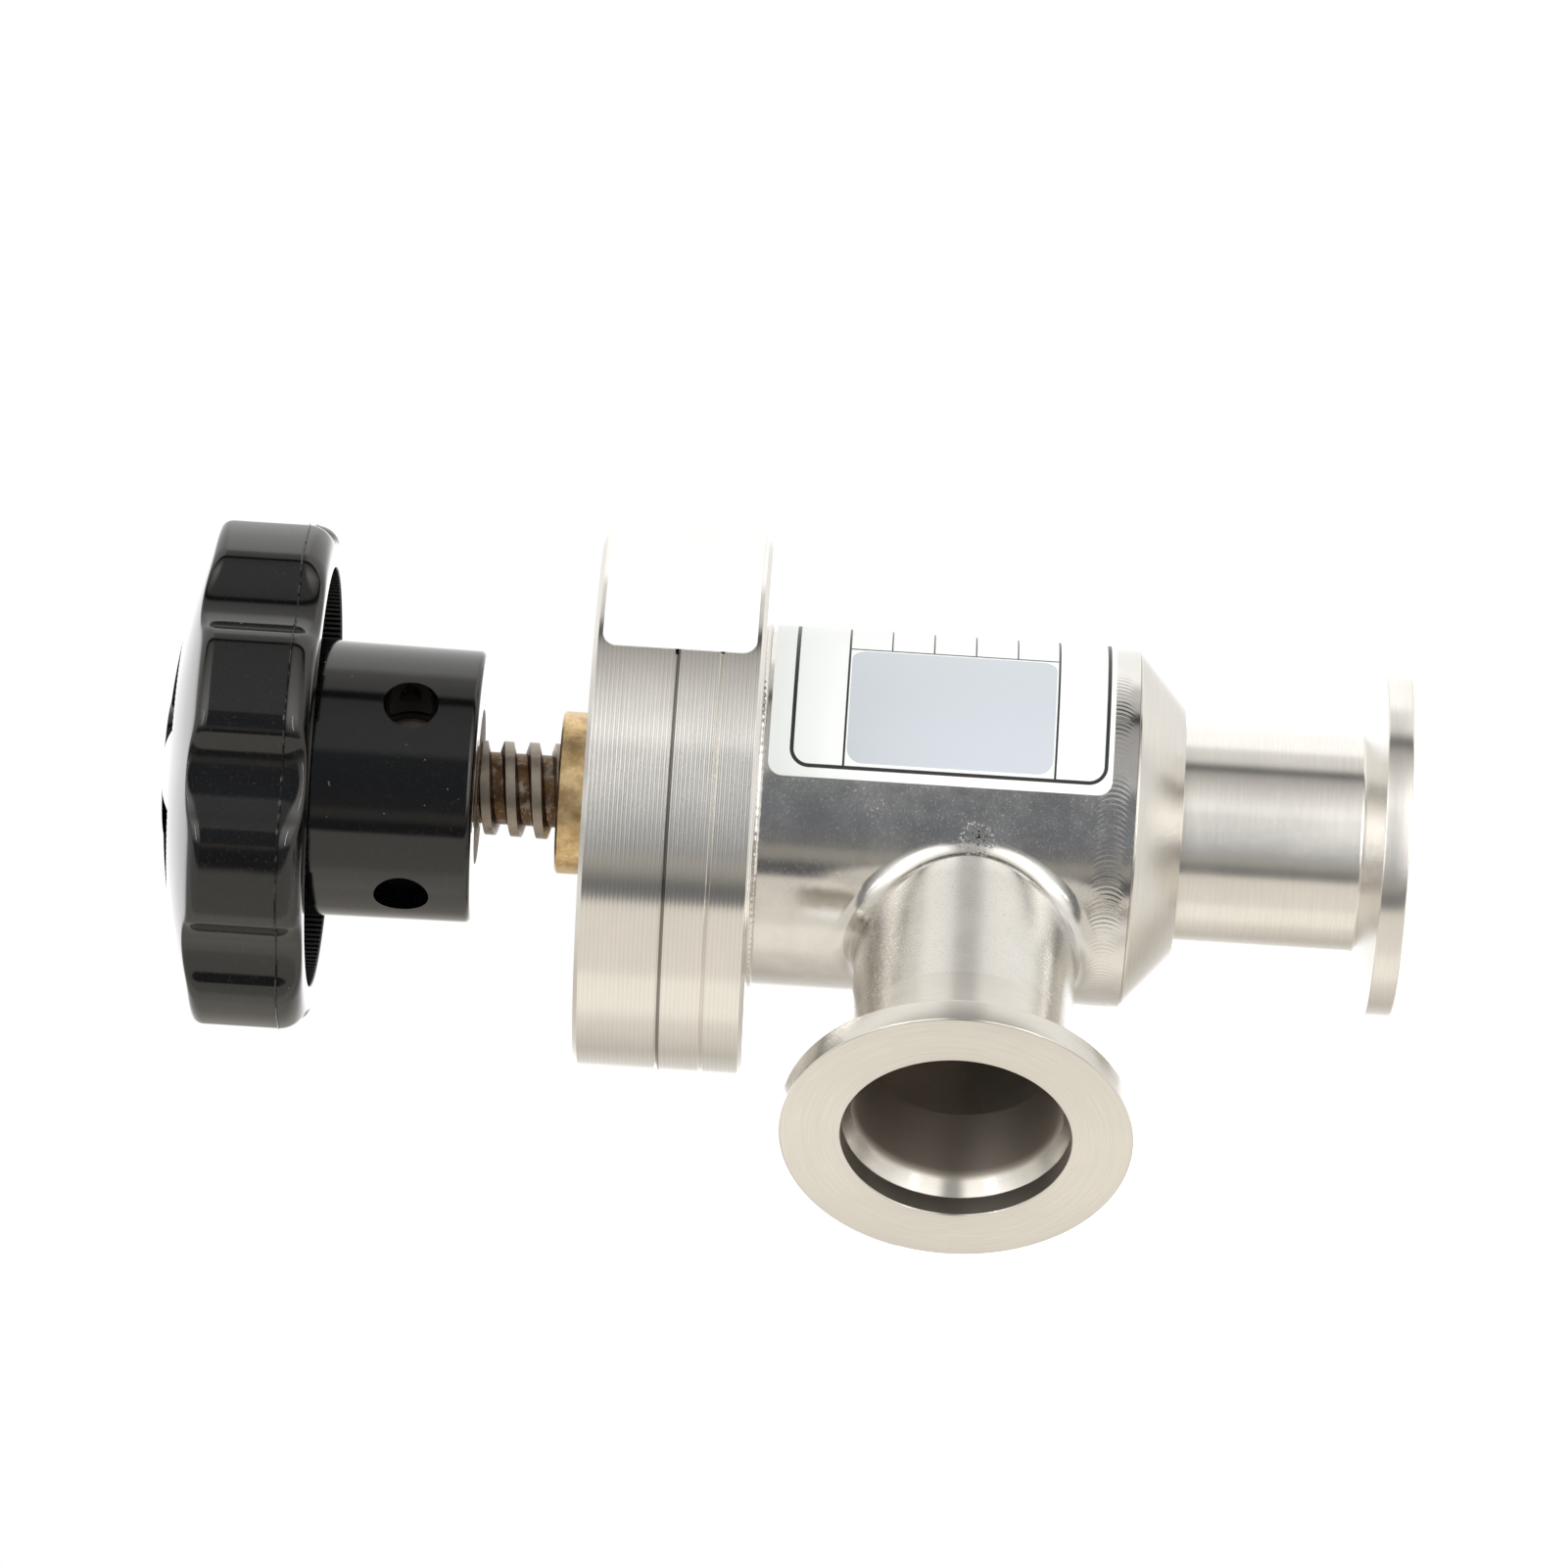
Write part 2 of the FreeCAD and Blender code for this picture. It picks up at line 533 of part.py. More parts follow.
def hub_bushing():
    top = HUB_Z + BUSHING_LENGTH
    bushing = turned((STEM_TOP_D / 2, HUB_Z), (BUSHING_D / 2, HUB_Z), (BUSHING_D / 2, top), (0, top),
                     (0, top - THREAD_PITCH), (STEM_TOP_D / 2, top - THREAD_PITCH))
    for i in range(2):
        axis = polar(1, CROSS_HOLE_START + 180 * i, 0)
        bushing = bushing.cut(Part.makeCylinder(SET_SCREW_D / 2, BUSHING_D, at(0, 0, CROSS_HOLE_Z), axis))
    return bushing


def curved_label(radius, low, high, start, span, corner):
    """Thin sheet wrapped on a cylinder about the stem axis, with rounded corners."""
    sheet = ring(radius, radius + LABEL_T, low, high)
    wedge = Part.makeCylinder(radius * 2, high - low, at(0, 0, low), UP, span)
    sheet = sheet.common(turn_about_stem(wedge, start))
    for angle, inward in ((start, 1), (start + span, -1)):
        for edge_z, upward in ((low, 1), (high, -1)):
            sheet = sheet.cut(corner_cutter(radius, angle, inward, edge_z, upward, corner))
    return sheet


def corner_cutter(radius, angle, inward, edge_z, upward, corner):
    """Radial block less a radial round bar, which rounds one corner of a wrapped sheet."""
    size = corner + 1
    block = Part.makeBox(radius + 2, size, size, at(0, 0 if inward < 0 else -size, 0))
    block.translate(at(0, inward * corner, -1 if upward > 0 else -corner))
    bar = Part.makeCylinder(corner, radius + 2, at(0, inward * corner, upward * corner), at(1, 0, 0))
    cutter = block.cut(bar)
    cutter.translate(at(0, 0, edge_z))
    return turn_about_stem(cutter, angle)


def body_label():
    low = SHELL_Z + LABEL_MARGIN_LOW
    high = BODY_FLANGE_Z - WELD_LEG
    return curved_label(BODY_R, low, high, LABEL_START, LABEL_SPAN, LABEL_CORNER)


def rim_sticker():
    low = BODY_FLANGE_Z + STICKER_MARGIN
    high = COVER_TOP_Z - STICKER_MARGIN
    return curved_label(STACK_R, low, high, STICKER_START, STICKER_SPAN, LABEL_CORNER)


PIECES = {
    "end_port_flange": port_flange(END_TUBE_LENGTH + END_TUBE_ENTRY),
    "side_port_flange": side_placed(port_flange(SIDE_STUB_LENGTH)),
    "seat_cap": seat_cap(),
    "body_shell": body_shell(),
    "body_flange": body_flange(),
    "flange_weld": flange_weld(),
    "flange_seal": flange_seal(),
    "bellows_flange": bellows_flange(),
    "bellows": bellows(),
    "bonnet_cover": bonnet_cover(),
    "bonnet_screws": bonnet_screws(),
    "stem_nut": stem_nut(),
    "body_label": body_label(),
    "rim_sticker": rim_sticker(),
    "valve_disc": valve_disc(),
    "disc_seal": disc_seal(),
    "seal_retainer": seal_retainer(),
    "retainer_screw": retainer_screw(),
    "disc_carrier": disc_carrier(),
    "thrust_ball": Part.makeSphere(BALL_D / 2, at(0, 0, BALL_Z)),
    "stem_retainer": stem_retainer(),
    "stem": stem(),
    "handwheel": handwheel(),
    "hub_bushing": hub_bushing(),
    "set_screws": set_screws(),
}

os.makedirs("parts", exist_ok=True)
for name, piece in PIECES.items():
    piece.exportStep(f"parts/{name}.step")
    print(f"{name:18s} solids {len(piece.Solids):2d}  valid {piece.isValid()}  volume {piece.Volume:9.1f}")
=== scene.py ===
"""Looks of a manual right-angle vacuum valve, laid out as a Blender add-on and run as a script."""
import math
import random

import bpy
from bpy.props import FloatProperty, FloatVectorProperty, IntProperty, PointerProperty
from mathutils import Matrix, Vector


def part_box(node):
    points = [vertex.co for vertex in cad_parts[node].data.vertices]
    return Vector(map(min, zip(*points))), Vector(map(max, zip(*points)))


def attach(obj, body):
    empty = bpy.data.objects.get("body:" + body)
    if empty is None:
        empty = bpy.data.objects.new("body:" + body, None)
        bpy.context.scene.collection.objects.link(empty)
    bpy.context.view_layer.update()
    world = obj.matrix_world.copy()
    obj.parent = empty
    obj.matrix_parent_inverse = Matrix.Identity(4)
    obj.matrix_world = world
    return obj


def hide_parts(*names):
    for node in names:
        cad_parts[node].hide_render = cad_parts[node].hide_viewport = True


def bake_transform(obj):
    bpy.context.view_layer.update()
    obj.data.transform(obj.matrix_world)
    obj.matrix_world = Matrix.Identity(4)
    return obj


bl_info = {
    "name": "Right-angle valve",
    "version": (1, 0, 0),
    "blender": (4, 5, 0),
    "location": "View3D > Sidebar > Valve",
    "description": "Builds the turned, moulded and welded pieces of a bellows-sealed angle valve",
    "category": "Add Mesh",
}

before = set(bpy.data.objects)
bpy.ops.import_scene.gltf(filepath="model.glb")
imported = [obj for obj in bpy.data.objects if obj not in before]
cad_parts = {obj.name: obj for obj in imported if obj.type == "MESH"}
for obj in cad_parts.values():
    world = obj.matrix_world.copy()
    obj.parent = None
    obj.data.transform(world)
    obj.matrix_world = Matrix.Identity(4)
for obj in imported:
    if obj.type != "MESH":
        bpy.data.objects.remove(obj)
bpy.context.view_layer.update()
MM = 0.001

# Places and radii read from the CAD parts in model.glb
END_LOW, END_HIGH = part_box("end_port_flange")
SIDE_LOW, SIDE_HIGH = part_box("side_port_flange")
CAP_LOW, CAP_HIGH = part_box("seat_cap")
SHELL_LOW, SHELL_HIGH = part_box("body_shell")
FLANGE_LOW, FLANGE_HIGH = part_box("body_flange")
COVER_LOW, COVER_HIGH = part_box("bonnet_cover")
WHEEL_LOW, WHEEL_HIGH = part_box("handwheel")
BUSHING_LOW, BUSHING_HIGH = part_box("hub_bushing")
BELLOWS_LOW, BELLOWS_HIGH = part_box("bellows")
WELD_LOW, WELD_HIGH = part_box("flange_weld")
LABEL_LOW, LABEL_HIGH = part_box("body_label")
PORT_R = END_HIGH.x
SIDE_AXIS_Z = (SIDE_LOW.z + SIDE_HIGH.z) / 2
SIDE_REACH = -SIDE_LOW.y
BODY_R = CAP_HIGH.x
STACK_R = FLANGE_HIGH.x
HUB_Z = WHEEL_LOW.z
BUSHING_R = (BUSHING_HIGH.x - BUSHING_LOW.x) / 2

# Clamp flange section
TUBE_R = 12.7 * MM
TUBE_BORE_R = 11.7 * MM
RECESS_R = 13.1 * MM
RECESS_DEPTH = 2.6 * MM
RECESS_RAMP = 2.5 * MM
PORT_RIM = 3.0 * MM
PORT_BACK_ANGLE = math.radians(15)

# Conical shoulder with the raised seat
SHOULDER_R = 14.8 * MM
SHOULDER_LENGTH = 5.7 * MM
BODY_BORE_R = 19.0 * MM
SEAT_RISE = 0.8 * MM
SEAT_WIDTH = 2.6 * MM
CAP_ENTRY = 3.0 * MM

# Handwheel section
WHEEL_R = 30.2 * MM
RIM_Z = HUB_Z + 18.3 * MM
RIM_HEIGHT = 12.83 * MM
RIM_BACK_ROUND = 3.0 * MM
RIM_FRONT_ROUND = 1.7 * MM
DOME_RADIUS = 83.0 * MM
RECESS_OUTER_R = 24.5 * MM
RECESS_FLOOR_Z = RIM_Z + 6.0 * MM
HUB_R = 15.93 * MM
HUB_BASE_R = 16.2 * MM
POCKET_INNER_R = 8.0 * MM
POCKET_OUTER_R = 18.0 * MM
POCKET_FLOOR_Z = RIM_Z + 10.9 * MM
SCALLOP_COUNT = 8
SCALLOP_START = math.radians(-45.4)
SCALLOP_GROOVE_R = 9.0 * MM
SCALLOP_EDGE_R = 4.2 * MM
CROSS_HOLE_R = 3.2 * MM
CROSS_HOLE_Z = HUB_Z + 7.9 * MM
CROSS_HOLE_START = math.radians(-9)


# ---------------------------------------------------------------- settings

class ValveSizes(bpy.types.PropertyGroup):
    """Small shapes that only the visible pieces carry."""
    edge_round: FloatProperty(name="Edge round", description="Radius of the broken edges of turned parts",
                              default=0.22 * MM, unit="LENGTH")
    scallop_depth: FloatProperty(name="Scallop depth", description="Depth of the grip hollows in the rim",
                                 default=2.7 * MM, unit="LENGTH")
    flash_height: FloatProperty(name="Flash height", description="How far the mould flash stands proud",
                                default=0.24 * MM, unit="LENGTH")
    rib_depth: FloatProperty(name="Rib depth", description="Depth of the fine ribs in the wheel's recesses",
                             default=0.3 * MM, unit="LENGTH")
    weld_ripple: FloatProperty(name="Weld ripple", description="Height of the ripples along the weld bead",
                               default=0.09 * MM, unit="LENGTH")
    bellows_folds: IntProperty(name="Bellows folds", description="Number of folds in the bellows",
                               default=11, min=3)
    feed_pitch: FloatProperty(name="Feed pitch", description="Spacing of the turning lines on the flange rims",
                              default=0.5 * MM, unit="LENGTH")


class ValveColours(bpy.types.PropertyGroup):
    """Base colours of the finishes."""
    steel: FloatVectorProperty(name="Steel", description="Bare stainless steel", subtype="COLOR",
                               default=(0.80, 0.775, 0.735))
    rings: FloatVectorProperty(name="Ring steel", description="Bright turned steel of the flange rings",
                               subtype="COLOR", default=(0.87, 0.85, 0.815))
    polished: FloatVectorProperty(name="Polished steel", description="Polished body tube", subtype="COLOR",
                                  default=(0.77, 0.755, 0.73))
    worn: FloatVectorProperty(name="Worn steel", description="Greasy steel of the stem", subtype="COLOR",
                              default=(0.31, 0.27, 0.23))
    grease: FloatVectorProperty(name="Grease", description="Brown grease in the thread", subtype="COLOR",
                                default=(0.105, 0.06, 0.03))
    # Very dark steel of the bushing and set screws.
    dark_fittings: FloatVectorProperty(name="Dark fittings steel", description="Bushing and set screws",
                                   subtype="COLOR", default=(0.07, 0.068, 0.065))
    brass: FloatVectorProperty(name="Brass", description="Stem nut", subtype="COLOR",
                               default=(0.80, 0.60, 0.33))
    moulding: FloatVectorProperty(name="Moulding", description="Black moulded wheel", subtype="COLOR",
                                  default=(0.0012, 0.0012, 0.0014))
    rubber: FloatVectorProperty(name="Rubber", description="Seals", subtype="COLOR",
                                default=(0.016, 0.015, 0.015))
    paper: FloatVectorProperty(name="Label white", description="White of the labels", subtype="COLOR",
                               default=(0.80, 0.835, 0.835))
    field: FloatVectorProperty(name="Label field", description="Blue-grey blank field of the label",
                               subtype="COLOR", default=(0.50, 0.54, 0.59))
    print_line: FloatVectorProperty(name="Label lines", description="Printed lines of the label",
                                    subtype="COLOR", default=(0.03, 0.028, 0.03))


class ValveStage(bpy.types.PropertyGroup):
    """Camera and floor."""
    azimuth: FloatProperty(name="Azimuth", description="Camera direction about the stem axis",
                           default=math.radians(46.21), unit="ROTATION")
    elevation: FloatProperty(name="Elevation", description="Camera height angle",
                             default=math.radians(-0.567), unit="ROTATION")
    roll: FloatProperty(name="Roll", description="Turn of the camera about its own axis",
                        default=math.radians(-86.353), unit="ROTATION")
    distance: FloatProperty(name="Distance", description="Camera distance from its target",
                            default=0.9724, unit="LENGTH")
    target: FloatVectorProperty(name="Target", description="Point that the camera looks at",
                                default=(0.0023, 0.0014, 0.0722), subtype="TRANSLATION")
    lens: FloatProperty(name="Lens", description="Focal length in millimetres", default=191.13)
    floor_size: FloatProperty(name="Floor size", description="Side of the square floor",
                              default=12.0, unit="LENGTH")


# ---------------------------------------------------------------- shader helpers

class Shader:
    """Short hand for building one shader tree."""

    def __init__(self, tree):
        self.tree = tree
        tree.nodes.clear()

    def add(self, kind, inputs=(), output=0, **settings):
        node = self.tree.nodes.new("ShaderNode" + kind)
        for key, value in settings.items():
            setattr(node, key, value)
        for key, value in dict(inputs).items():
            socket = node.inputs[key]
            if isinstance(value, bpy.types.NodeSocket):
                self.tree.links.new(value, socket)
            else:
                socket.default_value = value
        return node.outputs[output] if len(node.outputs) else None

    def math(self, operation, *values):
        return self.add("Math", enumerate(values), operation=operation)

    def smooth(self, value, start, end, low=0.0, high=1.0):
        """Smooth step from low at start to high at end."""
        ends = {0: value, 1: start, 2: end, 3: low, 4: high}
        return self.add("MapRange", ends, interpolation_type="SMOOTHSTEP")

    def mix(self, factor, first, second):
        ends = {0: factor, 6: first, 7: second}
        return self.add("Mix", ends, output=2, data_type="RGBA")

    def ramp(self, factor, stops, interpolation="EASE"):
        socket = self.add("ValToRGB", {0: factor})
        band = socket.node.color_ramp
        band.interpolation = interpolation
        while len(band.elements) < len(stops):
            band.elements.new(0.5)
        for element, (place, colour) in zip(band.elements, stops):
            element.position = place
            element.color = colour if len(colour) == 4 else (*colour, 1)
        return socket

    def noise(self, vector, scale, detail=2.0, roughness=0.5):
        ends = {"Vector": vector, "Scale": scale, "Detail": detail, "Roughness": roughness}
        return self.add("TexNoise", ends)

    def bump(self, height, depth, normal=None):
        ends = {"Height": height, "Distance": depth, "Strength": 1.0}
        if normal is not None:
            ends["Normal"] = normal
        return self.add("Bump", ends)

    def vector(self, x=0.0, y=0.0, z=0.0):
        return self.add("CombineXYZ", {0: x, 1: y, 2: z})

    def parts(self, vector):
        return self.add("SeparateXYZ", {0: vector}).node.outputs

    def length(self, x, y):
        return self.add("VectorMath", {0: self.vector(x, y)}, output="Value", operation="LENGTH")

    def surface(self, inputs):
        shader = self.add("BsdfPrincipled", inputs)
        self.add("OutputMaterial", {"Surface": shader})


def new_material(name):
    material = bpy.data.materials.new(name)
    material.use_nodes = True
    return material, Shader(material.node_tree)


def round_places(s, side):
    """Radius, distance along the axis and angle about it, for the stem axis or the side port's."""
    place = s.add("TexCoord", output="Object")
    if side:
        place = s.add("Mapping", {"Vector": place, "Location": (0, 0, -SIDE_AXIS_Z)})
    x, y, z = s.parts(place)
    across, along = (z, y) if side else (y, z)
    return s.length(x, across), along, s.math("ARCTAN2", across, x), place


def turning_lines(s, radius, along, angle, pitch, reach=0.0005):
    """Uneven lines round the axis: noise that hardly changes along the turn."""
    place = s.vector(radius, along, s.math("MULTIPLY", angle, reach))
    return s.noise(place, 1 / pitch, 3.0, 0.6)


def scratches(s, place, scale, turn, thin=16.0):
    """Fine straight scratches in one direction."""
    turned = s.add("Mapping", {"Vector": place, "Rotation": (turn, turn * 0.7, turn * 1.3),
                               "Scale": (1.0, thin, thin)})
    return s.smooth(s.noise(turned, scale, 2.0, 0.5), 0.62, 0.72)


def turned_metal(name, colour, rough=0.24, pitch=0.2 * MM, depth=0.0022 * MM, feed=0.0,
                 feed_depth=0.0, side=False, haze=0.05, dark=0.06, anisotropic=0.75):
    """Lathe-turned metal: uneven circumferential lines, a feed spiral, faint stains and specks."""
    material, s = new_material(name)
    radius, along, angle, place = round_places(s, side)
    lines = turning_lines(s, radius, along, angle, pitch)
    fine = turning_lines(s, radius, along, angle, pitch * 0.35, 0.0003)
    stains = s.noise(place, 90, 4.0, 0.6)
    normal = s.bump(lines, depth)
    normal = s.bump(fine, depth * 0.4, normal)
    if feed:
        wander = s.math("MULTIPLY", s.noise(place, 400, 1.0), 0.8)
        phase = s.math("MULTIPLY", s.math("ADD", radius, along), 2 * math.pi / feed)
        wave = s.math("SINE", s.math("ADD", phase, wander))
        normal = s.bump(wave, feed_depth, normal)
    shade = s.math("ADD", s.math("MULTIPLY", lines, dark), s.math("MULTIPLY", stains, dark))
    darker = tuple(c * (1 - 1.6 * dark) for c in colour) + (1,)
    tint = s.mix(s.smooth(shade, 0.6 * dark, 1.5 * dark), darker, (*colour, 1))
    # Painted shade: within the tube's inner radius of the axis the colour turns a darker brown; that zone is also
    # made rougher.
    bore = s.smooth(radius, TUBE_BORE_R + 0.5 * MM, TUBE_BORE_R + 0.1 * MM)
    tint = s.mix(s.math("MULTIPLY", bore, 0.8), tint, (0.42, 0.37, 0.32, 1))
    if feed:
        groove = s.math("MULTIPLY", s.smooth(wave, 0.2, 1.0), 0.12)
        tint = s.mix(groove, tint, tuple(c * 0.55 for c in colour) + (1,))
        seam = s.math("COMPARE", along, COVER_LOW.z, 0.22 * MM)
        seam = s.math("MULTIPLY", seam, s.math("GREATER_THAN", radius, STACK_R - MM))
        tint = s.mix(s.math("MULTIPLY", seam, 0.75), tint, (0.10, 0.085, 0.07, 1))
    roughness = s.math("ADD", rough - haze / 2, s.math("MULTIPLY", stains, haze))
    roughness = s.math("ADD", roughness, s.math("MULTIPLY", bore, 0.2))
    tangent = s.add("Tangent", direction_type="RADIAL", axis="Y" if side else "Z")
    s.surface({"Base Color": tint, "Metallic": 1.0, "Roughness": roughness, "Normal": normal,
               "Anisotropic": anisotropic, "Anisotropic Rotation": 0.25, "Tangent": tangent})
    return material


def body_metal(name, colour):
    """Polished body tube: hazy, finely scratched, with turned lines on the branch and chatter arcs."""
    material, s = new_material(name)
    radius, along, angle, place = round_places(s, False)
    side_r, side_along, side_angle, _ = round_places(s, True)
    on_branch = s.smooth(radius, BODY_R + 1.2 * MM, BODY_R + 3.2 * MM)
    body_lines = turning_lines(s, radius, along, angle, 0.16 * MM)
    branch_lines = turning_lines(s, side_r, side_along, side_angle, 0.3 * MM, 0.0016)
    haze = s.noise(place, 140, 5.0, 0.65)
    marks = s.math("MAXIMUM", scratches(s, place, 260, 0.5), scratches(s, place, 330, -0.7))
    marks = s.math("MAXIMUM", marks, scratches(s, place, 300, 2.1))
    normal = s.bump(body_lines, s.math("MULTIPLY", s.math("SUBTRACT", 1.0, on_branch), 0.0009 * MM))
    normal = s.bump(branch_lines, s.math("MULTIPLY", on_branch, 0.0012 * MM), normal)
    normal = s.bump(marks, -0.0005 * MM, normal)
    sweep = s.math("POWER", s.math("MULTIPLY", s.math("SUBTRACT", along, SHELL_LOW.z + 2.6 * MM), 1000.0), 2)
    arcs = s.math("ADD", s.math("MULTIPLY", angle, BODY_R), s.math("MULTIPLY", sweep, 0.22 * MM))
    arcs = s.math("SINE", s.math("MULTIPLY", arcs, 2 * math.pi / (0.62 * MM)))
    near = s.smooth(s.math("ABSOLUTE", s.math("SUBTRACT", along, SHELL_LOW.z + 2.6 * MM)), 2.2 * MM, 1.0 * MM)
    normal = s.bump(s.math("MULTIPLY", arcs, near), 0.008 * MM, normal)
    waves = s.noise(place, 60, 2.0)
    normal = s.bump(waves, 0.05 * MM, normal)
    pit_place = s.add("VectorMath", {0: place, 1: (0.0140, -0.0166, 0.0496)}, output="Value",
                      operation="DISTANCE")
    pits = s.smooth(s.noise(place, 2600, 2.0), 0.55, 0.60)
    pits = s.math("MULTIPLY", pits, s.smooth(pit_place, 2.4 * MM, 0.4 * MM))
    normal = s.bump(pits, -0.12 * MM, normal)
    tint = s.mix(s.smooth(haze, 0.35, 0.65), tuple(c * 0.9 for c in colour) + (1,), (*colour, 1))
    tint = s.mix(pits, tint, (0.02, 0.018, 0.016, 1))
    # Painted shade: inside the body's inner wall, and within the branch's inner radius of the side axis (which
    # also takes in a round patch on the far outer wall), the colour turns a darker brown; these places are also
    # made rougher.
    inside = s.math("MULTIPLY", s.math("LESS_THAN", radius, BODY_BORE_R + 0.4 * MM), 1.0)
    branch_bore = s.math("LESS_THAN", side_r, TUBE_BORE_R + 0.4 * MM)
    inside = s.math("MAXIMUM", inside, branch_bore)
    tint = s.mix(s.math("MULTIPLY", inside, 0.6), tint, (0.55, 0.49, 0.42, 1))
    roughness = s.math("ADD", 0.05, s.math("MULTIPLY", haze, 0.19))
    roughness = s.math("ADD", roughness, s.math("MULTIPLY", marks, 0.10))
    roughness = s.math("ADD", roughness, s.math("MULTIPLY", on_branch, 0.10))
    roughness = s.math("ADD", roughness, s.math("MULTIPLY", inside, 0.25))
    s.surface({"Base Color": tint, "Metallic": 1.0, "Roughness": roughness, "Normal": normal})
    return material


def stem_metal(name, worn, grease):
    """Threaded stem: worn crests, brown grease and fibres between the threads."""
    material, s = new_material(name)
    radius, along, angle, place = round_places(s, False)
    crest = s.smooth(radius, 4.6 * MM, 5.5 * MM)
    patches = s.noise(place, 620, 4.0, 0.6)
    clean = s.smooth(s.math("ADD", s.math("MULTIPLY", crest, 0.3), patches), 0.48, 0.72)
    lines = turning_lines(s, radius, along, angle, 0.12 * MM)
    fibres = scratches(s, place, 900, 1.1, 9.0)
    tint = s.mix(clean, (*grease, 1), (*worn, 1))
    tint = s.mix(s.math("MULTIPLY", fibres, 0.35), tint, (0.72, 0.66, 0.55, 1))
    normal = s.bump(lines, 0.004 * MM)
    normal = s.bump(patches, 0.05 * MM, normal)
    roughness = s.math("ADD", 0.26, s.math("MULTIPLY", patches, 0.22))
    s.surface({"Base Color": tint, "Metallic": 1.0, "Roughness": roughness, "Normal": normal})
    return material


def brass_metal(name, colour):
    """Turned brass with streaks, smudges and a darker skin."""
    material, s = new_material(name)
    radius, along, angle, place = round_places(s, False)
    lines = turning_lines(s, radius, along, angle, 0.14 * MM)
    bands = s.noise(s.vector(s.math("MULTIPLY", angle, 0.010), 0.0, along), 420, 4.0, 0.65)
    smudge = s.smooth(s.noise(place, 520, 5.0, 0.7), 0.52, 0.68)
    dull = tuple(c * f for c, f in zip(colour, (0.62, 0.56, 0.5))) + (1,)
    tint = s.mix(s.smooth(bands, 0.35, 0.65), dull, (*colour, 1))
    tint = s.mix(s.math("MULTIPLY", smudge, 0.30), tint, (0.30, 0.21, 0.12, 1))
    normal = s.bump(lines, 0.003 * MM)
    roughness = s.math("ADD", 0.22, s.math("MULTIPLY", bands, 0.16))
    s.surface({"Base Color": tint, "Metallic": 1.0, "Roughness": roughness, "Normal": normal})
    return material


def moulded_plastic(name, colour):
    """Glossy black moulding: gentle sink waves, dust specks, hairline scuffs and duller recesses."""
    material, s = new_material(name)
    radius, along, angle, place = round_places(s, False)
    waves = s.noise(place, 110, 2.0)
    specks = s.smooth(s.noise(place, 1300, 1.0), 0.80, 0.82)
    scuffs = s.math("MAXIMUM", scratches(s, place, 210, 0.9), scratches(s, place, 260, -0.4))
    flow = s.noise(s.vector(radius, along, s.math("MULTIPLY", angle, 0.004)), 700, 3.0)
    back = s.math("LESS_THAN", along, RECESS_FLOOR_Z + 0.1 * MM)
    inside = s.math("MULTIPLY", back, s.math("LESS_THAN", radius, RECESS_OUTER_R + 0.1 * MM))
    inside = s.math("MULTIPLY", inside, s.math("GREATER_THAN", radius, HUB_BASE_R + 0.15 * MM))
    normal = s.bump(waves, 0.035 * MM)
    normal = s.bump(specks, 0.03 * MM, normal)
    normal = s.bump(flow, 0.0015 * MM, normal)
    light = (0.16, 0.16, 0.16, 1)
    tint = s.mix(s.math("MULTIPLY", specks, 0.55), (*colour, 1), light)
    tint = s.mix(s.math("MULTIPLY", scuffs, 0.04), tint, light)
    roughness = s.math("ADD", 0.05, s.math("MULTIPLY", scuffs, 0.08))
    roughness = s.math("ADD", roughness, s.math("MULTIPLY", flow, 0.05))
    roughness = s.math("ADD", roughness, s.math("MULTIPLY", inside, 0.35))
    s.surface({"Base Color": tint, "Roughness": roughness, "Normal": normal, "IOR": 1.62})
    return material


def rubber(name, colour):
    material, s = new_material(name)
    place = s.add("TexCoord", output="Object")
    grain = s.noise(place, 2400, 4.0, 0.6)
    bloom = s.noise(place, 160, 3.0)
    tint = s.mix(s.smooth(bloom, 0.3, 0.7), (*colour, 1), tuple(c * 2.2 for c in colour) + (1,))
    roughness = s.math("ADD", 0.42, s.math("MULTIPLY", grain, 0.2))
    s.surface({"Base Color": tint, "Roughness": roughness, "Normal": s.bump(grain, 0.01 * MM)})
    return material


def bellows_metal(name, colour):
    """Thin formed steel, darker and browner towards the fold roots and the collars, which share the roots'
    radius: painted shade in the folds.
    """
    material, s = new_material(name)
    radius, along, angle, place = round_places(s, False)
    # Painted shade: darker and browner towards the fold roots, full colour at the crests.
    crest = s.smooth(radius, 8.6 * MM, 12.3 * MM)
    fold_root_shade = tuple(c * f for c, f in zip(colour, (0.62, 0.56, 0.50))) + (1,)
    tint = s.mix(crest, fold_root_shade, (*colour, 1))
    lines = turning_lines(s, radius, along, angle, 0.1 * MM)
    roughness = s.math("ADD", 0.16, s.math("MULTIPLY", s.noise(place, 300, 3.0), 0.16))
    s.surface({"Base Color": tint, "Metallic": 1.0, "Roughness": roughness,
               "Normal": s.bump(lines, 0.002 * MM)})
    return material


def rounded_box(s, u, v, box, corner):
    """Signed distance from a rounded rectangle, negative inside."""
    u_low, u_high, v_low, v_high = box
    gaps = []
    for value, low, high in ((u, u_low, u_high), (v, v_low, v_high)):
        off = s.math("ABSOLUTE", s.math("SUBTRACT", value, (low + high) / 2))
        gaps.append(s.math("SUBTRACT", off, (high - low) / 2 - corner))
    outside = s.length(s.math("MAXIMUM", gaps[0], 0.0), s.math("MAXIMUM", gaps[1], 0.0))
    inside = s.math("MINIMUM", s.math("MAXIMUM", gaps[0], gaps[1]), 0.0)
    return s.math("SUBTRACT", s.math("ADD", outside, inside), corner)


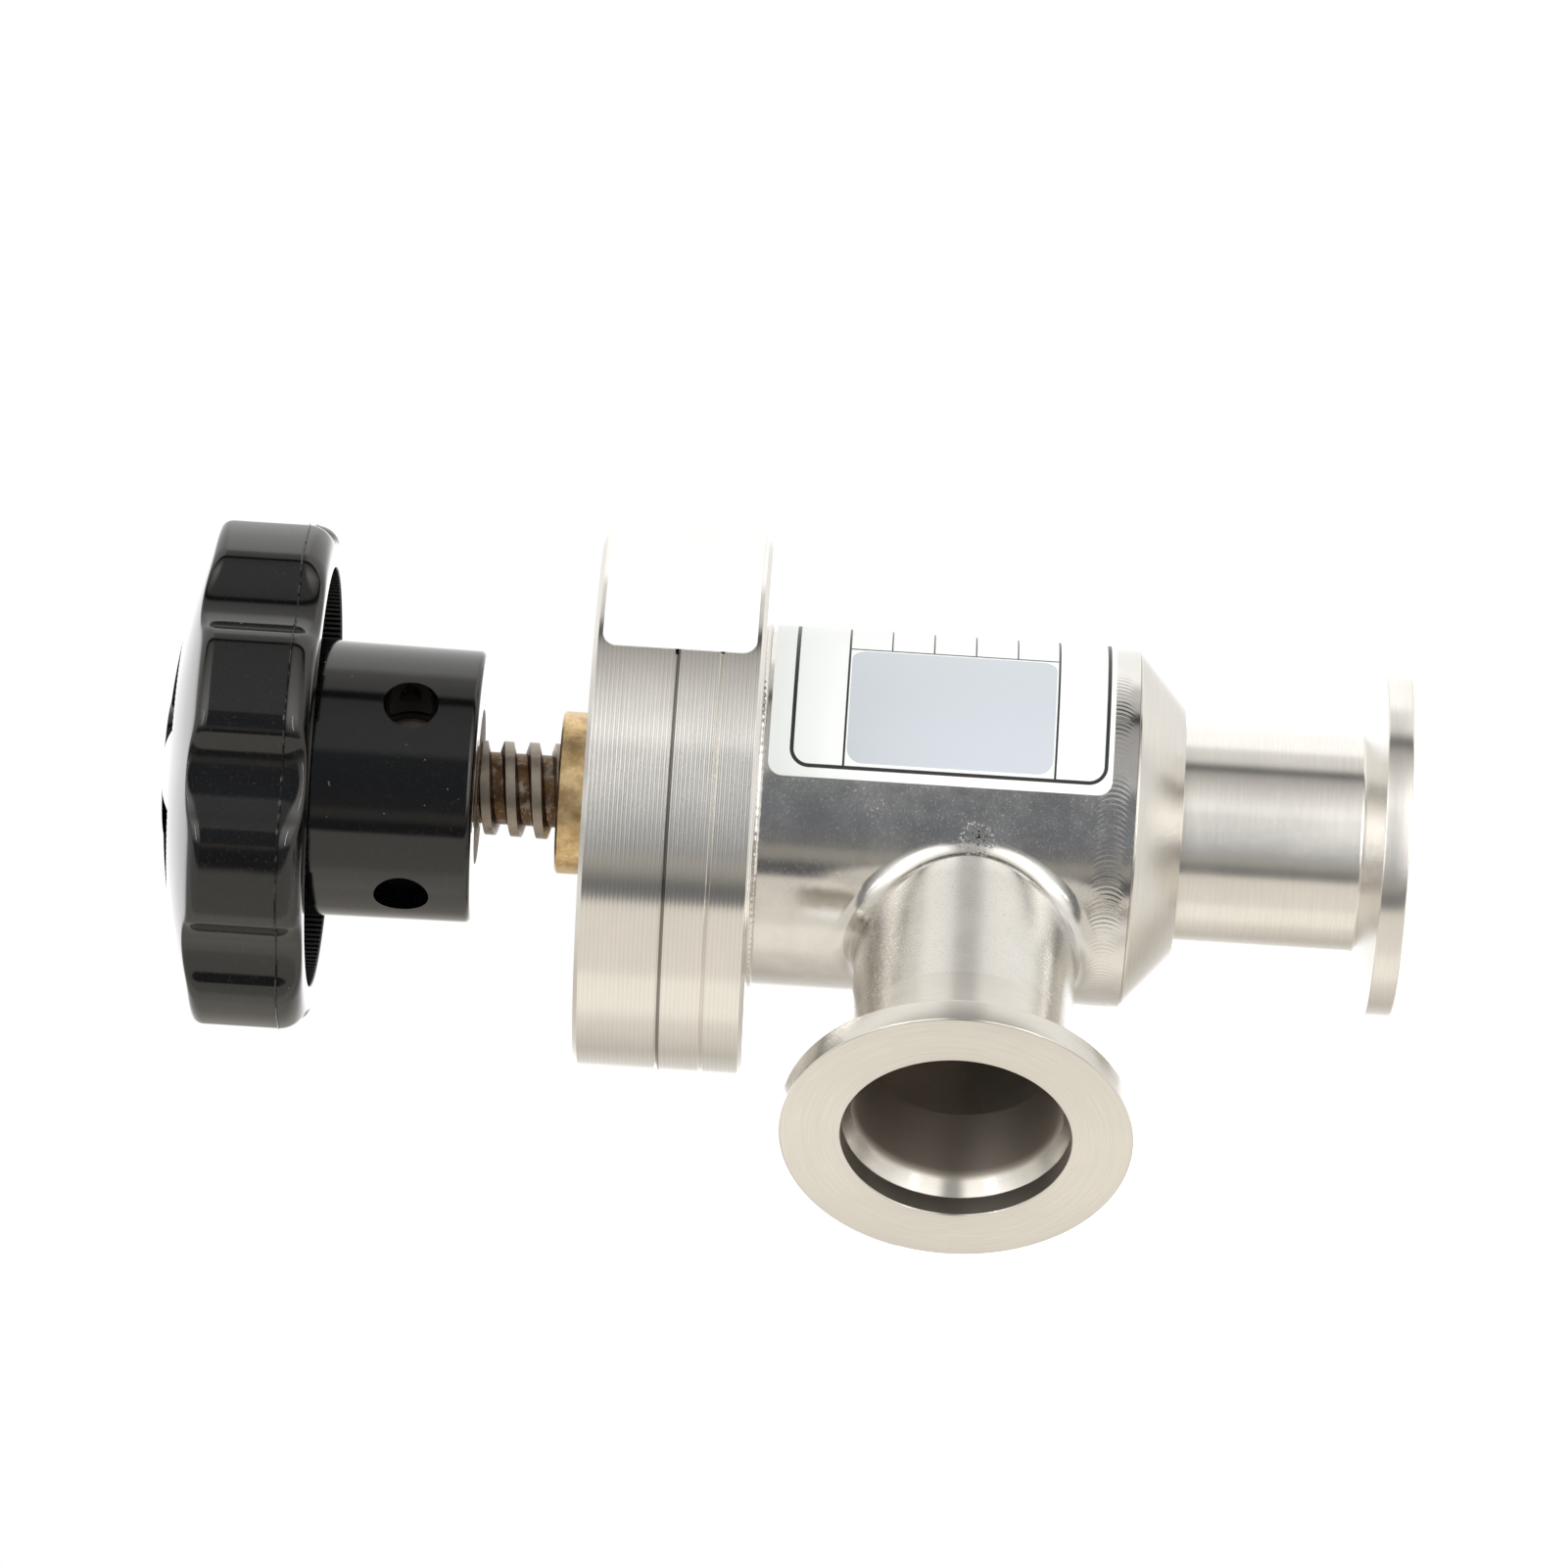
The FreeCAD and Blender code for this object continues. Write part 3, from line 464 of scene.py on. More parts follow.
def label_film(name, colours):
    """Printed label with a border, ruled lines and blank fields, wrapped on the body."""
    material, s = new_material(name)
    radius, along, angle, place = round_places(s, False)
    u = s.math("MULTIPLY", angle, BODY_R)
    degree = math.radians(1) * BODY_R
    start, end = -34 * degree, 100 * degree
    low, high = LABEL_LOW.z, LABEL_HIGH.z
    border = (start + 1.35 * MM, end - 1.35 * MM, low + 0.8 * MM, high - 2.6 * MM)
    line = 0.45 * MM
    thin = 0.26 * MM
    edge = rounded_box(s, u, along, border, 2.0 * MM)
    within = s.math("LESS_THAN", edge, 0.0)
    ruled = s.math("COMPARE", edge, 0.0, line / 2)
    high_rule, low_rule = high - 8.6 * MM, low + 6.6 * MM
    head_u = 18.5 * degree
    rules = [s.math("COMPARE", along, z, thin / 2) for z in (high_rule, low_rule)]
    between = s.math("COMPARE", along, (high_rule + low_rule) / 2, (high_rule - low_rule) / 2)
    rules.append(s.math("MULTIPLY", between, s.math("COMPARE", u, head_u, thin / 2)))
    beyond = s.math("MULTIPLY", between, s.math("GREATER_THAN", u, head_u))
    cell = (high_rule - low_rule) / 5
    step = s.math("PINGPONG", s.math("SUBTRACT", along, low_rule), cell / 2)
    rules.append(s.math("MULTIPLY", beyond, s.math("LESS_THAN", step, thin / 3)))
    for rule in rules:
        ruled = s.math("MAXIMUM", ruled, s.math("MULTIPLY", rule, within))
    blank = rounded_box(s, u, along, (border[0] + 0.6 * MM, head_u - 0.4 * MM,
                                      low_rule + 0.3 * MM, high_rule - 0.3 * MM), 1.8 * MM)
    foot = rounded_box(s, u, along, (border[0] + 0.6 * MM, 24 * degree,
                                     low + 1.5 * MM, low_rule - 0.6 * MM), 1.6 * MM)
    # Painted shade: the paper turns up to 7% darker towards the label's end further round the body.
    far_end_shade = s.smooth(angle, -0.5, 1.2)
    paper = s.mix(far_end_shade, (*colours.paper, 1), tuple(c * 0.93 for c in colours.paper) + (1,))
    tint = s.mix(s.math("LESS_THAN", foot, 0.0), paper, (0.78, 0.79, 0.78, 1))
    tint = s.mix(s.math("LESS_THAN", blank, 0.0), tint, (*colours.field, 1))
    fade = s.math("MULTIPLY", ruled, s.math("SUBTRACT", 1.0, s.math("LESS_THAN", blank, 0.0)))
    tint = s.mix(fade, tint, (*colours.print_line, 1))
    grain = s.noise(place, 900, 3.0)
    roughness = s.math("ADD", 0.28, s.math("MULTIPLY", grain, 0.1))
    s.surface({"Base Color": tint, "Roughness": roughness, "Normal": s.bump(grain, 0.004 * MM),
               "Specular IOR Level": 0.25})
    return material


def sticker_film(name, colour):
    """Plain white sticker with a soft grain and slight soiling in patches."""
    material, s = new_material(name)
    place = s.add("TexCoord", output="Object")
    grain = s.noise(place, 700, 3.0)
    soil = s.smooth(s.noise(place, 120, 4.0), 0.35, 0.75)
    tint = s.mix(s.math("MULTIPLY", soil, 0.25), (0.76, 0.78, 0.78, 1), (*colour, 1))
    roughness = s.math("ADD", 0.36, s.math("MULTIPLY", grain, 0.1))
    s.surface({"Base Color": tint, "Roughness": roughness, "Normal": s.bump(grain, 0.006 * MM),
               "Specular IOR Level": 0.25})
    return material


# ---------------------------------------------------------------- modelling helpers

def deselect_all():
    if bpy.context.object and bpy.context.object.mode != "OBJECT":
        bpy.ops.object.mode_set(mode="OBJECT")
    bpy.ops.object.select_all(action="DESELECT")


def start_piece(name):
    """A new piece in edit mode that holds a single vertex at the origin."""
    deselect_all()
    bpy.ops.mesh.primitive_plane_add(size=MM)
    piece = bpy.context.object
    piece.name = piece.data.name = name
    bpy.ops.object.mode_set(mode="EDIT")
    bpy.ops.mesh.select_mode(type="VERT")
    bpy.ops.mesh.select_all(action="SELECT")
    bpy.ops.mesh.merge(type="CENTER")
    return piece


def rounded(outline, steps=4):
    """Points (r, z) of an outline whose entries are (r, z, round): each corner becomes an arc."""
    points = []
    for i, (r, z, radius) in enumerate(outline):
        here = Vector((r, z))
        if not radius:
            points.append(here)
            continue
        before = (Vector(outline[i - 1][:2]) - here).normalized()
        after = (Vector(outline[(i + 1) % len(outline)][:2]) - here).normalized()
        half = before.angle(after) / 2
        centre = here + (before + after).normalized() * radius / math.sin(half)
        arm = here + before * radius / math.tan(half) - centre
        end = here + after * radius / math.tan(half) - centre
        turn = math.atan2(arm.x * end.y - arm.y * end.x, arm.dot(end))
        points += [centre + Matrix.Rotation(turn * k / steps, 2) @ arm for k in range(steps + 1)]
    return points


def spun(name, points, closed=True, steps=240, side=False, angle=2 * math.pi):
    """Draw the outline vertex by vertex and spin it about the stem axis or the side port's axis."""
    piece = start_piece(name)
    if closed:
        points = points + points[:1]
    here = Vector((0, 0, 0))
    for i, (r, z) in enumerate(points):
        there = Vector((r, z - SIDE_REACH, SIDE_AXIS_Z) if side else (r, 0, z))
        move = {"value": there - here}
        if i:
            bpy.ops.mesh.extrude_region_move(TRANSFORM_OT_translate=move)
        else:
            bpy.ops.transform.translate(**move)
        here = there
    bpy.ops.mesh.select_all(action="SELECT")
    bpy.ops.mesh.spin(steps=steps, angle=angle, center=(0, 0, SIDE_AXIS_Z if side else 0),
                      axis=(0, 1, 0) if side else (0, 0, 1))
    bpy.ops.mesh.select_all(action="SELECT")
    bpy.ops.mesh.remove_doubles(threshold=0.002 * MM)
    bpy.ops.mesh.normals_make_consistent(inside=False)
    bpy.ops.object.mode_set(mode="OBJECT")
    return piece


def finish_piece(piece, material, body, slot, *nodes, smooth=35):
    """Smooth the piece, give it its material and body, and let it stand for its CAD nodes."""
    deselect_all()
    piece.select_set(True)
    bpy.context.view_layer.objects.active = piece
    bpy.ops.object.shade_smooth_by_angle(angle=math.radians(smooth))
    piece.data.materials.clear()
    piece.data.materials.append(material)
    if body:
        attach(piece, body)
    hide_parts(*nodes)


def paint(material, *nodes):
    """Give carried-over CAD nodes a material."""
    for node in nodes:
        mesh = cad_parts[node].data
        mesh.materials.clear()
        mesh.materials.append(material)


def cut_away(piece, cutters):
    """Boolean difference of the piece with each cutter, which is then removed."""
    for cutter in cutters:
        deselect_all()
        piece.select_set(True)
        bpy.context.view_layer.objects.active = piece
        cut = piece.modifiers.new("cut", "BOOLEAN")
        cut.operation = "DIFFERENCE"
        cut.solver = "EXACT"
        cut.object = cutter
        bpy.ops.object.modifier_apply(modifier=cut.name)
        bpy.data.objects.remove(cutter)


# ---------------------------------------------------------------- pieces

def port_outline(length, edge):
    """Section of a clamp flange and its tube, from the sealing face at 0 up to length."""
    cone = (PORT_R - TUBE_R) * math.tan(PORT_BACK_ANGLE)
    ramp = RECESS_DEPTH + RECESS_RAMP
    return rounded([(RECESS_R, 0, edge * 0.8), (PORT_R, 0, edge), (PORT_R, PORT_RIM, edge),
                    (TUBE_R, PORT_RIM + cone, 0.5 * MM), (TUBE_R, length, 0), (TUBE_BORE_R, length, 0),
                    (TUBE_BORE_R, ramp, 2.2 * MM), (RECESS_R, RECESS_DEPTH, 0.4 * MM)])


class VALVE_OT_ports(bpy.types.Operator):
    """Turn the end port and side port clamp flanges with their tubes"""
    bl_idname = "valve.ports"
    bl_label = "Port flanges"

    def execute(self, context):
        sizes, colours = context.scene.valve_sizes, context.scene.valve_colours
        steel = turned_metal("port_turned_steel", colours.rings, rough=0.26, pitch=0.16 * MM)
        end = spun("end_port", port_outline(END_HIGH.z, sizes.edge_round))
        finish_piece(end, steel, "valve_body", "port_steel", "end_port_flange")
        steel = turned_metal("side_turned_steel", colours.steel, rough=0.26, pitch=0.16 * MM, side=True)
        length = SIDE_HIGH.y - SIDE_LOW.y
        side = spun("side_port", port_outline(length, sizes.edge_round), side=True)
        finish_piece(side, steel, "valve_body", "port_steel", "side_port_flange")
        return {"FINISHED"}


class VALVE_OT_body(bpy.types.Operator):
    """Turn the conical shoulder, lay the weld bead and polish the body tube"""
    bl_idname = "valve.body"
    bl_label = "Body and weld"

    def execute(self, context):
        sizes, colours = context.scene.valve_sizes, context.scene.valve_colours
        edge = sizes.edge_round
        foot, top = CAP_LOW.z, CAP_HIGH.z
        floor = top - SEAT_RISE
        cone_top = foot + SHOULDER_LENGTH
        outline = [(TUBE_R, foot, 0), (SHOULDER_R, foot, edge), (BODY_R, cone_top, edge),
                   (BODY_BORE_R, cone_top, 0), (BODY_BORE_R, floor, 0),
                   (TUBE_BORE_R + SEAT_WIDTH + SEAT_RISE, floor, edge),
                   (TUBE_BORE_R + SEAT_WIDTH, top, edge), (TUBE_BORE_R, top, edge),
                   (TUBE_BORE_R, foot + CAP_ENTRY, 0), (TUBE_R, foot + CAP_ENTRY, 0)]
        cap = spun("shoulder", rounded(outline))
        steel = turned_metal("shoulder_turned_steel", colours.steel, rough=0.21, pitch=0.2 * MM)
        finish_piece(cap, steel, "valve_body", "body_steel", "seat_cap")
        self.weld(sizes, colours)
        paint(body_metal("body_polished_steel", colours.polished), "body_shell")
        return {"FINISHED"}

    def weld(self, sizes, colours):
        """Half-round bead in the corner under the body flange, with ripples along it."""
        leg = 0.62 * (WELD_HIGH.z - WELD_LOW.z)
        corner = Vector((BODY_R - 0.2 * MM, WELD_HIGH.z))
        arc = [corner + Vector((math.cos(a), math.sin(a))) * (leg - sizes.weld_ripple)
               for a in (math.radians(-8 * k) for k in range(12))]
        bead = spun("weld_bead", [corner] + arc, steps=540)
        rng = random.Random(3)
        swell = [rng.uniform(0.2, 1.0) for _ in range(135)]
        for vertex in bead.data.vertices:
            x, y, z = vertex.co
            turn = (math.atan2(y, x) / (2 * math.pi)) % 1 * len(swell)
            ripple = abs(math.sin(math.pi * turn)) * swell[int(turn) % len(swell)]
            out = Vector((math.hypot(x, y), z)) - corner
            if out.length > 0.3 * leg:
                out *= 1 + sizes.weld_ripple * ripple / out.length
                r = corner.x + out.x
                vertex.co = Vector((x, y, 0)).normalized() * r + Vector((0, 0, corner.y + out.y))
        steel = turned_metal("weld_steel", colours.steel, rough=0.16, pitch=0.5 * MM, anisotropic=0.0)
        finish_piece(bead, steel, "valve_body", "body_steel", "flange_weld", smooth=60)


class VALVE_OT_stack(bpy.types.Operator):
    """Finish the three flange rings, their screws and the seal"""
    bl_idname = "valve.stack"
    bl_label = "Flange stack"

    def execute(self, context):
        sizes, colours = context.scene.valve_sizes, context.scene.valve_colours
        for node, rough in (("body_flange", 0.18), ("bellows_flange", 0.19), ("bonnet_cover", 0.20)):
            steel = turned_metal(node + "_steel", colours.rings, rough=rough, pitch=0.13 * MM,
                                 depth=0.0012 * MM, feed=sizes.feed_pitch, feed_depth=0.006 * MM)
            paint(steel, node)
        paint(turned_metal("screw_steel", colours.steel, rough=0.22, anisotropic=0.0), "bonnet_screws")
        paint(rubber("seal_rubber", colours.rubber), "flange_seal", "disc_seal")
        return {"FINISHED"}


class VALVE_OT_bellows(bpy.types.Operator):
    """Form the bellows as one folded sleeve, spun over the length of the CAD bellows"""
    bl_idname = "valve.bellows"
    bl_label = "Bellows"

    def execute(self, context):
        sizes, colours = context.scene.valve_sizes, context.scene.valve_colours
        inner, outer = 8.35 * MM, BELLOWS_HIGH.x
        wall, collar = 0.35 * MM, 1.2 * MM
        low, high = BELLOWS_LOW.z, BELLOWS_HIGH.z
        fold = (high - low - 2 * collar) / sizes.bellows_folds
        middle, reach = (inner + wall + outer) / 2, (outer - inner - wall) / 2
        samples = 14
        wave = []
        for i in range(sizes.bellows_folds * samples + 1):
            swing = -math.cos(2 * math.pi * i / samples)
            swing = math.copysign(abs(swing) ** 0.6, swing)
            wave.append(Vector((middle + reach * swing, low + collar + fold * i / samples)))
        outside = [Vector((inner + wall, low))] + wave + [Vector((inner + wall, high))]
        inside = [point - Vector((wall, 0)) for point in reversed(outside)]
        piece = spun("bellows_sleeve", outside + inside, steps=120)
        finish_piece(piece, bellows_metal("bellows_formed_steel", colours.steel), None,
                     "bellows_steel", "bellows", smooth=80)
        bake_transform(piece)
        return {"FINISHED"}


class VALVE_OT_carriage(bpy.types.Operator):
    """Finish the disc, its carrier and the small parts that ride with them"""
    bl_idname = "valve.carriage"
    bl_label = "Disc carriage"

    def execute(self, context):
        colours = context.scene.valve_colours
        steel = turned_metal("disc_turned_steel", colours.steel, rough=0.2, pitch=0.15 * MM)
        paint(steel, "valve_disc", "seal_retainer", "disc_carrier", "stem_retainer")
        hard = turned_metal("hardened_steel", colours.steel, rough=0.12, anisotropic=0.0, dark=0.05)
        paint(hard, "retainer_screw", "thrust_ball")
        return {"FINISHED"}


class VALVE_OT_stem(bpy.types.Operator):
    """Finish the threaded stem, its brass nut and the hub bushing"""
    bl_idname = "valve.stem"
    bl_label = "Stem and nut"

    def execute(self, context):
        colours = context.scene.valve_colours
        paint(stem_metal("stem_greasy_steel", colours.worn, colours.grease), "stem")
        paint(brass_metal("nut_brass", colours.brass), "stem_nut")
        # The bushing and set screws get a very dark steel.
        dark = turned_metal("dark_fittings_steel", colours.dark_fittings, rough=0.5, anisotropic=0.0)
        paint(dark, "hub_bushing", "set_screws")
        return {"FINISHED"}


class VALVE_OT_handwheel(bpy.types.Operator):
    """Mould the handwheel: scalloped rim, domed front with pockets, ribbed recess and drilled hub"""
    bl_idname = "valve.handwheel"
    bl_label = "Handwheel"

    def execute(self, context):
        sizes, colours = context.scene.valve_sizes, context.scene.valve_colours
        wheel = spun("wheel_moulding", self.outline(), closed=False, steps=720)
        self.press(wheel, sizes)
        cut_away(wheel, [self.pocket(i, sizes) for i in range(4)] + [self.cross_hole(i) for i in range(4)])
        finish_piece(wheel, moulded_plastic("wheel_black_moulding", colours.moulding), "handwheel",
                     "black_moulding", "handwheel", smooth=40)
        return {"FINISHED"}

    def outline(self):
        """Half section of the moulding, from the bottom of the bushing's hole round to the dome's top."""
        top = RIM_Z + RIM_HEIGHT
        crown = top - math.sqrt(DOME_RADIUS**2 - WHEEL_R**2)
        parting = RIM_Z + 2.5 * MM
        edge_r = WHEEL_R - RIM_FRONT_ROUND
        edge_z = crown + math.sqrt((DOME_RADIUS - RIM_FRONT_ROUND)**2 - edge_r**2)
        hole_top = BUSHING_HIGH.z
        back = rounded([(0, hole_top, 0), (BUSHING_R, hole_top, 0), (BUSHING_R, HUB_Z, 0.3 * MM),
                        (HUB_R, HUB_Z, 0.8 * MM), (HUB_BASE_R, RECESS_FLOOR_Z, 0.8 * MM),
                        (RECESS_OUTER_R, RECESS_FLOOR_Z, 0), (RECESS_OUTER_R, RIM_Z, 0.3 * MM),
                        (WHEEL_R, RIM_Z, RIM_BACK_ROUND), (WHEEL_R, parting + 2 * MM, 0)], steps=10)
        half = 0.09 * MM
        back[-1:] = [Vector((WHEEL_R, parting + k * half)) for k in (3, 4, 5, 6, 7)]
        lean = math.asin(edge_r / (DOME_RADIUS - RIM_FRONT_ROUND))
        front = [Vector((WHEEL_R, edge_z - 0.4 * MM)), Vector((WHEEL_R, edge_z - 0.1 * MM))]
        for k in range(9):
            a = (math.pi / 2 - lean) * k / 8
            front.append(Vector((edge_r + RIM_FRONT_ROUND * math.cos(a), edge_z + RIM_FRONT_ROUND * math.sin(a))))
        dome = []
        for k in range(1, 29):
            a = lean * (1 - k / 28)
            dome.append(Vector((DOME_RADIUS * math.sin(a), crown + DOME_RADIUS * math.cos(a))))
        return back + front + dome

    def rim_radius(self, off, depth):
        """Rim radius at an angle from a scallop's middle: hollow groove, rounded edge, plain rim."""
        reach = WHEEL_R - depth + SCALLOP_GROOVE_R
        inner = WHEEL_R - SCALLOP_EDGE_R
        span = SCALLOP_GROOVE_R + SCALLOP_EDGE_R
        edge_turn = math.acos((reach**2 + inner**2 - span**2) / (2 * reach * inner))
        if off >= edge_turn:
            return WHEEL_R
        lean = math.acos((reach**2 + span**2 - inner**2) / (2 * reach * span))
        meet = Vector((reach - SCALLOP_GROOVE_R * math.cos(lean), SCALLOP_GROOVE_R * math.sin(lean)))
        if off <= math.atan2(meet.y, meet.x):
            across = reach * math.sin(off)
            return reach * math.cos(off) - math.sqrt(SCALLOP_GROOVE_R**2 - across**2)
        across = inner * math.sin(edge_turn - off)
        return inner * math.cos(edge_turn - off) + math.sqrt(SCALLOP_EDGE_R**2 - across**2)

    def press(self, wheel, sizes):
        """Press the scallops into the rim, raise the uneven flash and rib the recess wall."""
        parting = RIM_Z + 2.5 * MM + 5 * 0.09 * MM
        rng = random.Random(11)
        flash = [rng.uniform(0.15, 1.0) for _ in range(720)]
        spacing = 2 * math.pi / SCALLOP_COUNT
        for vertex in wheel.data.vertices:
            x, y, z = vertex.co
            r = math.hypot(x, y)
            if r < RECESS_OUTER_R - 0.5 * MM or z < RIM_Z - MM:
                continue
            angle = math.atan2(y, x)
            column = round(2 * math.degrees(angle)) % 720
            off = (angle - SCALLOP_START + spacing / 2) % spacing - spacing / 2
            outer = min(1.0, max(0.0, (r - WHEEL_R + 5 * MM) / (5 * MM)))
            new_r = r - (WHEEL_R - self.rim_radius(abs(off), sizes.scallop_depth)) * outer * outer
            if abs(z - parting) < 0.03 * MM and r > WHEEL_R - 0.01 * MM:
                new_r += sizes.flash_height * flash[column]
            if r < RECESS_OUTER_R + 0.02 * MM and z < RECESS_FLOOR_Z + 0.01 * MM and column // 2 % 2:
                new_r += sizes.rib_depth
            vertex.co.x *= new_r / r
            vertex.co.y *= new_r / r
            if z > RIM_Z + RIM_HEIGHT / 2:
                vertex.co.z += math.sqrt(DOME_RADIUS**2 - new_r**2) - math.sqrt(DOME_RADIUS**2 - r**2)

    def pocket(self, index, sizes):
        """Cutter for one sector-shaped front pocket, with sharp corners and a ribbed outer wall."""
        high = WHEEL_HIGH.z + 2 * MM
        corners = [(POCKET_INNER_R, POCKET_FLOOR_Z), (POCKET_OUTER_R, POCKET_FLOOR_Z),
                   (POCKET_OUTER_R, high), (POCKET_INNER_R, high)]
        cutter = spun("pocket_cutter", [Vector(c) for c in corners], steps=48, angle=math.radians(60))
        bpy.ops.object.mode_set(mode="EDIT")
        bpy.ops.mesh.select_all(action="DESELECT")
        bpy.ops.mesh.select_mode(type="EDGE")
        bpy.ops.mesh.select_non_manifold()
        bpy.ops.mesh.edge_face_add()
        bpy.ops.mesh.select_all(action="SELECT")
        bpy.ops.mesh.normals_make_consistent(inside=False)
        bpy.ops.object.mode_set(mode="OBJECT")
        spread = [math.degrees(math.atan2(v.co.y, v.co.x)) for v in cutter.data.vertices]
        centre = (min(spread) + max(spread)) / 2
        cutter.data.transform(Matrix.Rotation(math.radians(90 * index - centre), 4, "Z"))
        for vertex in cutter.data.vertices:
            x, y, z = vertex.co
            r = math.hypot(x, y)
            step = round((math.degrees(math.atan2(y, x)) % 90) / 1.25)
            if r > POCKET_OUTER_R - 0.1 * MM and step % 2:
                vertex.co.x *= 1 - sizes.rib_depth / r
                vertex.co.y *= 1 - sizes.rib_depth / r
        return cutter

    def cross_hole(self, index):
        """Cutter for one of the radial holes in the hub."""
        deselect_all()
        turn = CROSS_HOLE_START + index * math.pi / 2
        middle = 14 * MM
        place = (middle * math.cos(turn), middle * math.sin(turn), CROSS_HOLE_Z)
        bpy.ops.mesh.primitive_cylinder_add(vertices=64, radius=CROSS_HOLE_R, depth=12 * MM,
                                            location=place, rotation=(0, math.pi / 2, turn))
        return bpy.context.object


class VALVE_OT_labels(bpy.types.Operator):
    """Print the body label and the blank rim sticker"""
    bl_idname = "valve.labels"
    bl_label = "Labels"

    def execute(self, context):
        colours = context.scene.valve_colours
        paint(label_film("label_printed_film", colours), "body_label")
        paint(sticker_film("sticker_white_film", colours.paper), "rim_sticker")
        return {"FINISHED"}


# ---------------------------------------------------------------- stage

def studio_world():
    """Soft studio seen by reflections: a cream table on one side, bright panels round the rest, and a
    dimmer room in the level band between them. The camera itself sees plain white."""
    world = bpy.data.worlds.new("soft_studio")
    bpy.context.scene.world = world
    world.use_nodes = True
    s = Shader(world.node_tree)
    way = s.add("TexCoord", output="Generated")
    x, y, z = s.parts(way)
    turn = s.math("ARCTAN2", y, x)
    share = s.add("MapRange", {0: turn, 1: -math.pi, 2: math.pi})
    cream = (0.84, 0.79, 0.71)
    near = (1.02, 0.97, 0.87)
    panels = [(-180, (0.60, 0.56, 0.50)), (-154, cream), (-146, near), (-128, near), (-122, cream), (-90, cream),
              (-86, (0.20, 0.20, 0.20)),
              (-76, (0.24, 0.24, 0.23)), (-64, (0.80, 0.79, 0.76)), (-40, (1.60, 1.57, 1.50)),
              (-14, (1.95, 1.92, 1.85)), (-2, (1.45, 1.41, 1.33)), (14, (0.85, 0.81, 0.74)),
              (23, (0.55, 0.52, 0.46)), (28, (0.05, 0.05, 0.05)), (33, (0.05, 0.05, 0.05)),
              (42, (1.25, 1.22, 1.15)), (60, (1.10, 1.08, 1.02)), (115, (0.98, 0.97, 0.95)),
              (124, (1.2, 1.2, 1.2)), (136, (2.0, 2.0, 2.0)),
              (148, (1.2, 1.2, 1.2)), (158, (0.80, 0.77, 0.72)), (180, (0.60, 0.56, 0.50))]
    room = [(-180, (0.60, 0.56, 0.50)), (-154, cream), (-146, near), (-128, near), (-122, cream), (-90, cream),
            (-87, (0.12, 0.12, 0.13)),
            (-80, (0.13, 0.13, 0.13)), (-75, (0.36, 0.34, 0.30)), (-70, (0.36, 0.34, 0.30)),
            (-66, (0.20, 0.20, 0.20)), (-50, (0.17, 0.18, 0.20)), (-24, (0.19, 0.20, 0.21)),
            (-18, (0.50, 0.50, 0.50)), (6, (0.48, 0.47, 0.46)), (24, (0.40, 0.39, 0.38)),
            (28, (0.06, 0.06, 0.06)), (33, (0.06, 0.06, 0.06)), (37, (0.60, 0.59, 0.56)),
            (56, (0.75, 0.73, 0.70)), (64, (1.32, 1.31, 1.28)), (115, (1.20, 1.19, 1.17)),
            (136, (1.6, 1.6, 1.6)), (158, (0.80, 0.77, 0.72)), (180, (0.60, 0.56, 0.50))]
    lit, dim = (s.ramp(share, [((angle + 180) / 360, colour) for angle, colour in stops], "LINEAR")
                for stops in (panels, room))
    level = s.smooth(s.math("ABSOLUTE", z), 0.24, 0.09)
    seen = s.mix(level, lit, dim)
    height = s.math("ABSOLUTE", s.math("SUBTRACT", s.math("ABSOLUTE", z), 0.55))
    across = s.math("ABSOLUTE", s.math("ADD", turn, math.radians(42)))
    box_light = s.math("MULTIPLY", s.smooth(height, 0.011, 0.007), s.smooth(across, 0.42, 0.36))
    seen = s.mix(box_light, seen, (14.0, 13.8, 13.6, 1))
    pole = s.smooth(s.math("ABSOLUTE", z), 0.75, 0.97)
    seen = s.mix(pole, seen, (0.95, 0.93, 0.90, 1))
    direct = s.add("LightPath", output="Is Camera Ray")
    s.add("OutputWorld", {"Surface": s.add("Background", {"Color": s.mix(direct, seen, (1, 1, 1, 1))})})


def pale_floor(size):
    deselect_all()
    bpy.ops.mesh.primitive_plane_add(size=size)
    floor = bpy.context.object
    floor.name = "studio_floor"
    material, s = new_material("pale_floor")
    grain = s.noise(s.add("TexCoord", output="Object"), 3.0, 2.0)
    tint = s.mix(grain, (0.90, 0.90, 0.90, 1), (0.93, 0.93, 0.93, 1))
    s.surface({"Base Color": tint, "Roughness": 1.0, "Specular IOR Level": 0.0,
               "Emission Color": (1, 1, 1, 1), "Emission Strength": 0.42})
    floor.data.materials.append(material)
    floor.visible_glossy = False


def soft_light(name, azimuth, elevation, distance, size, power):
    a, e = math.radians(azimuth), math.radians(elevation)
    away = Vector((math.sin(a) * math.cos(e), -math.cos(a) * math.cos(e), math.sin(e)))
    deselect_all()
    bpy.ops.object.light_add(type="AREA", location=away * distance + Vector((0, 0, 0.07)),
                             rotation=away.to_track_quat("Z", "Y").to_euler())
    lamp = bpy.context.object
    lamp.name = name
    lamp.data.shape = "DISK"
    lamp.data.size = size
    lamp.data.energy = power
    lamp.visible_glossy = False


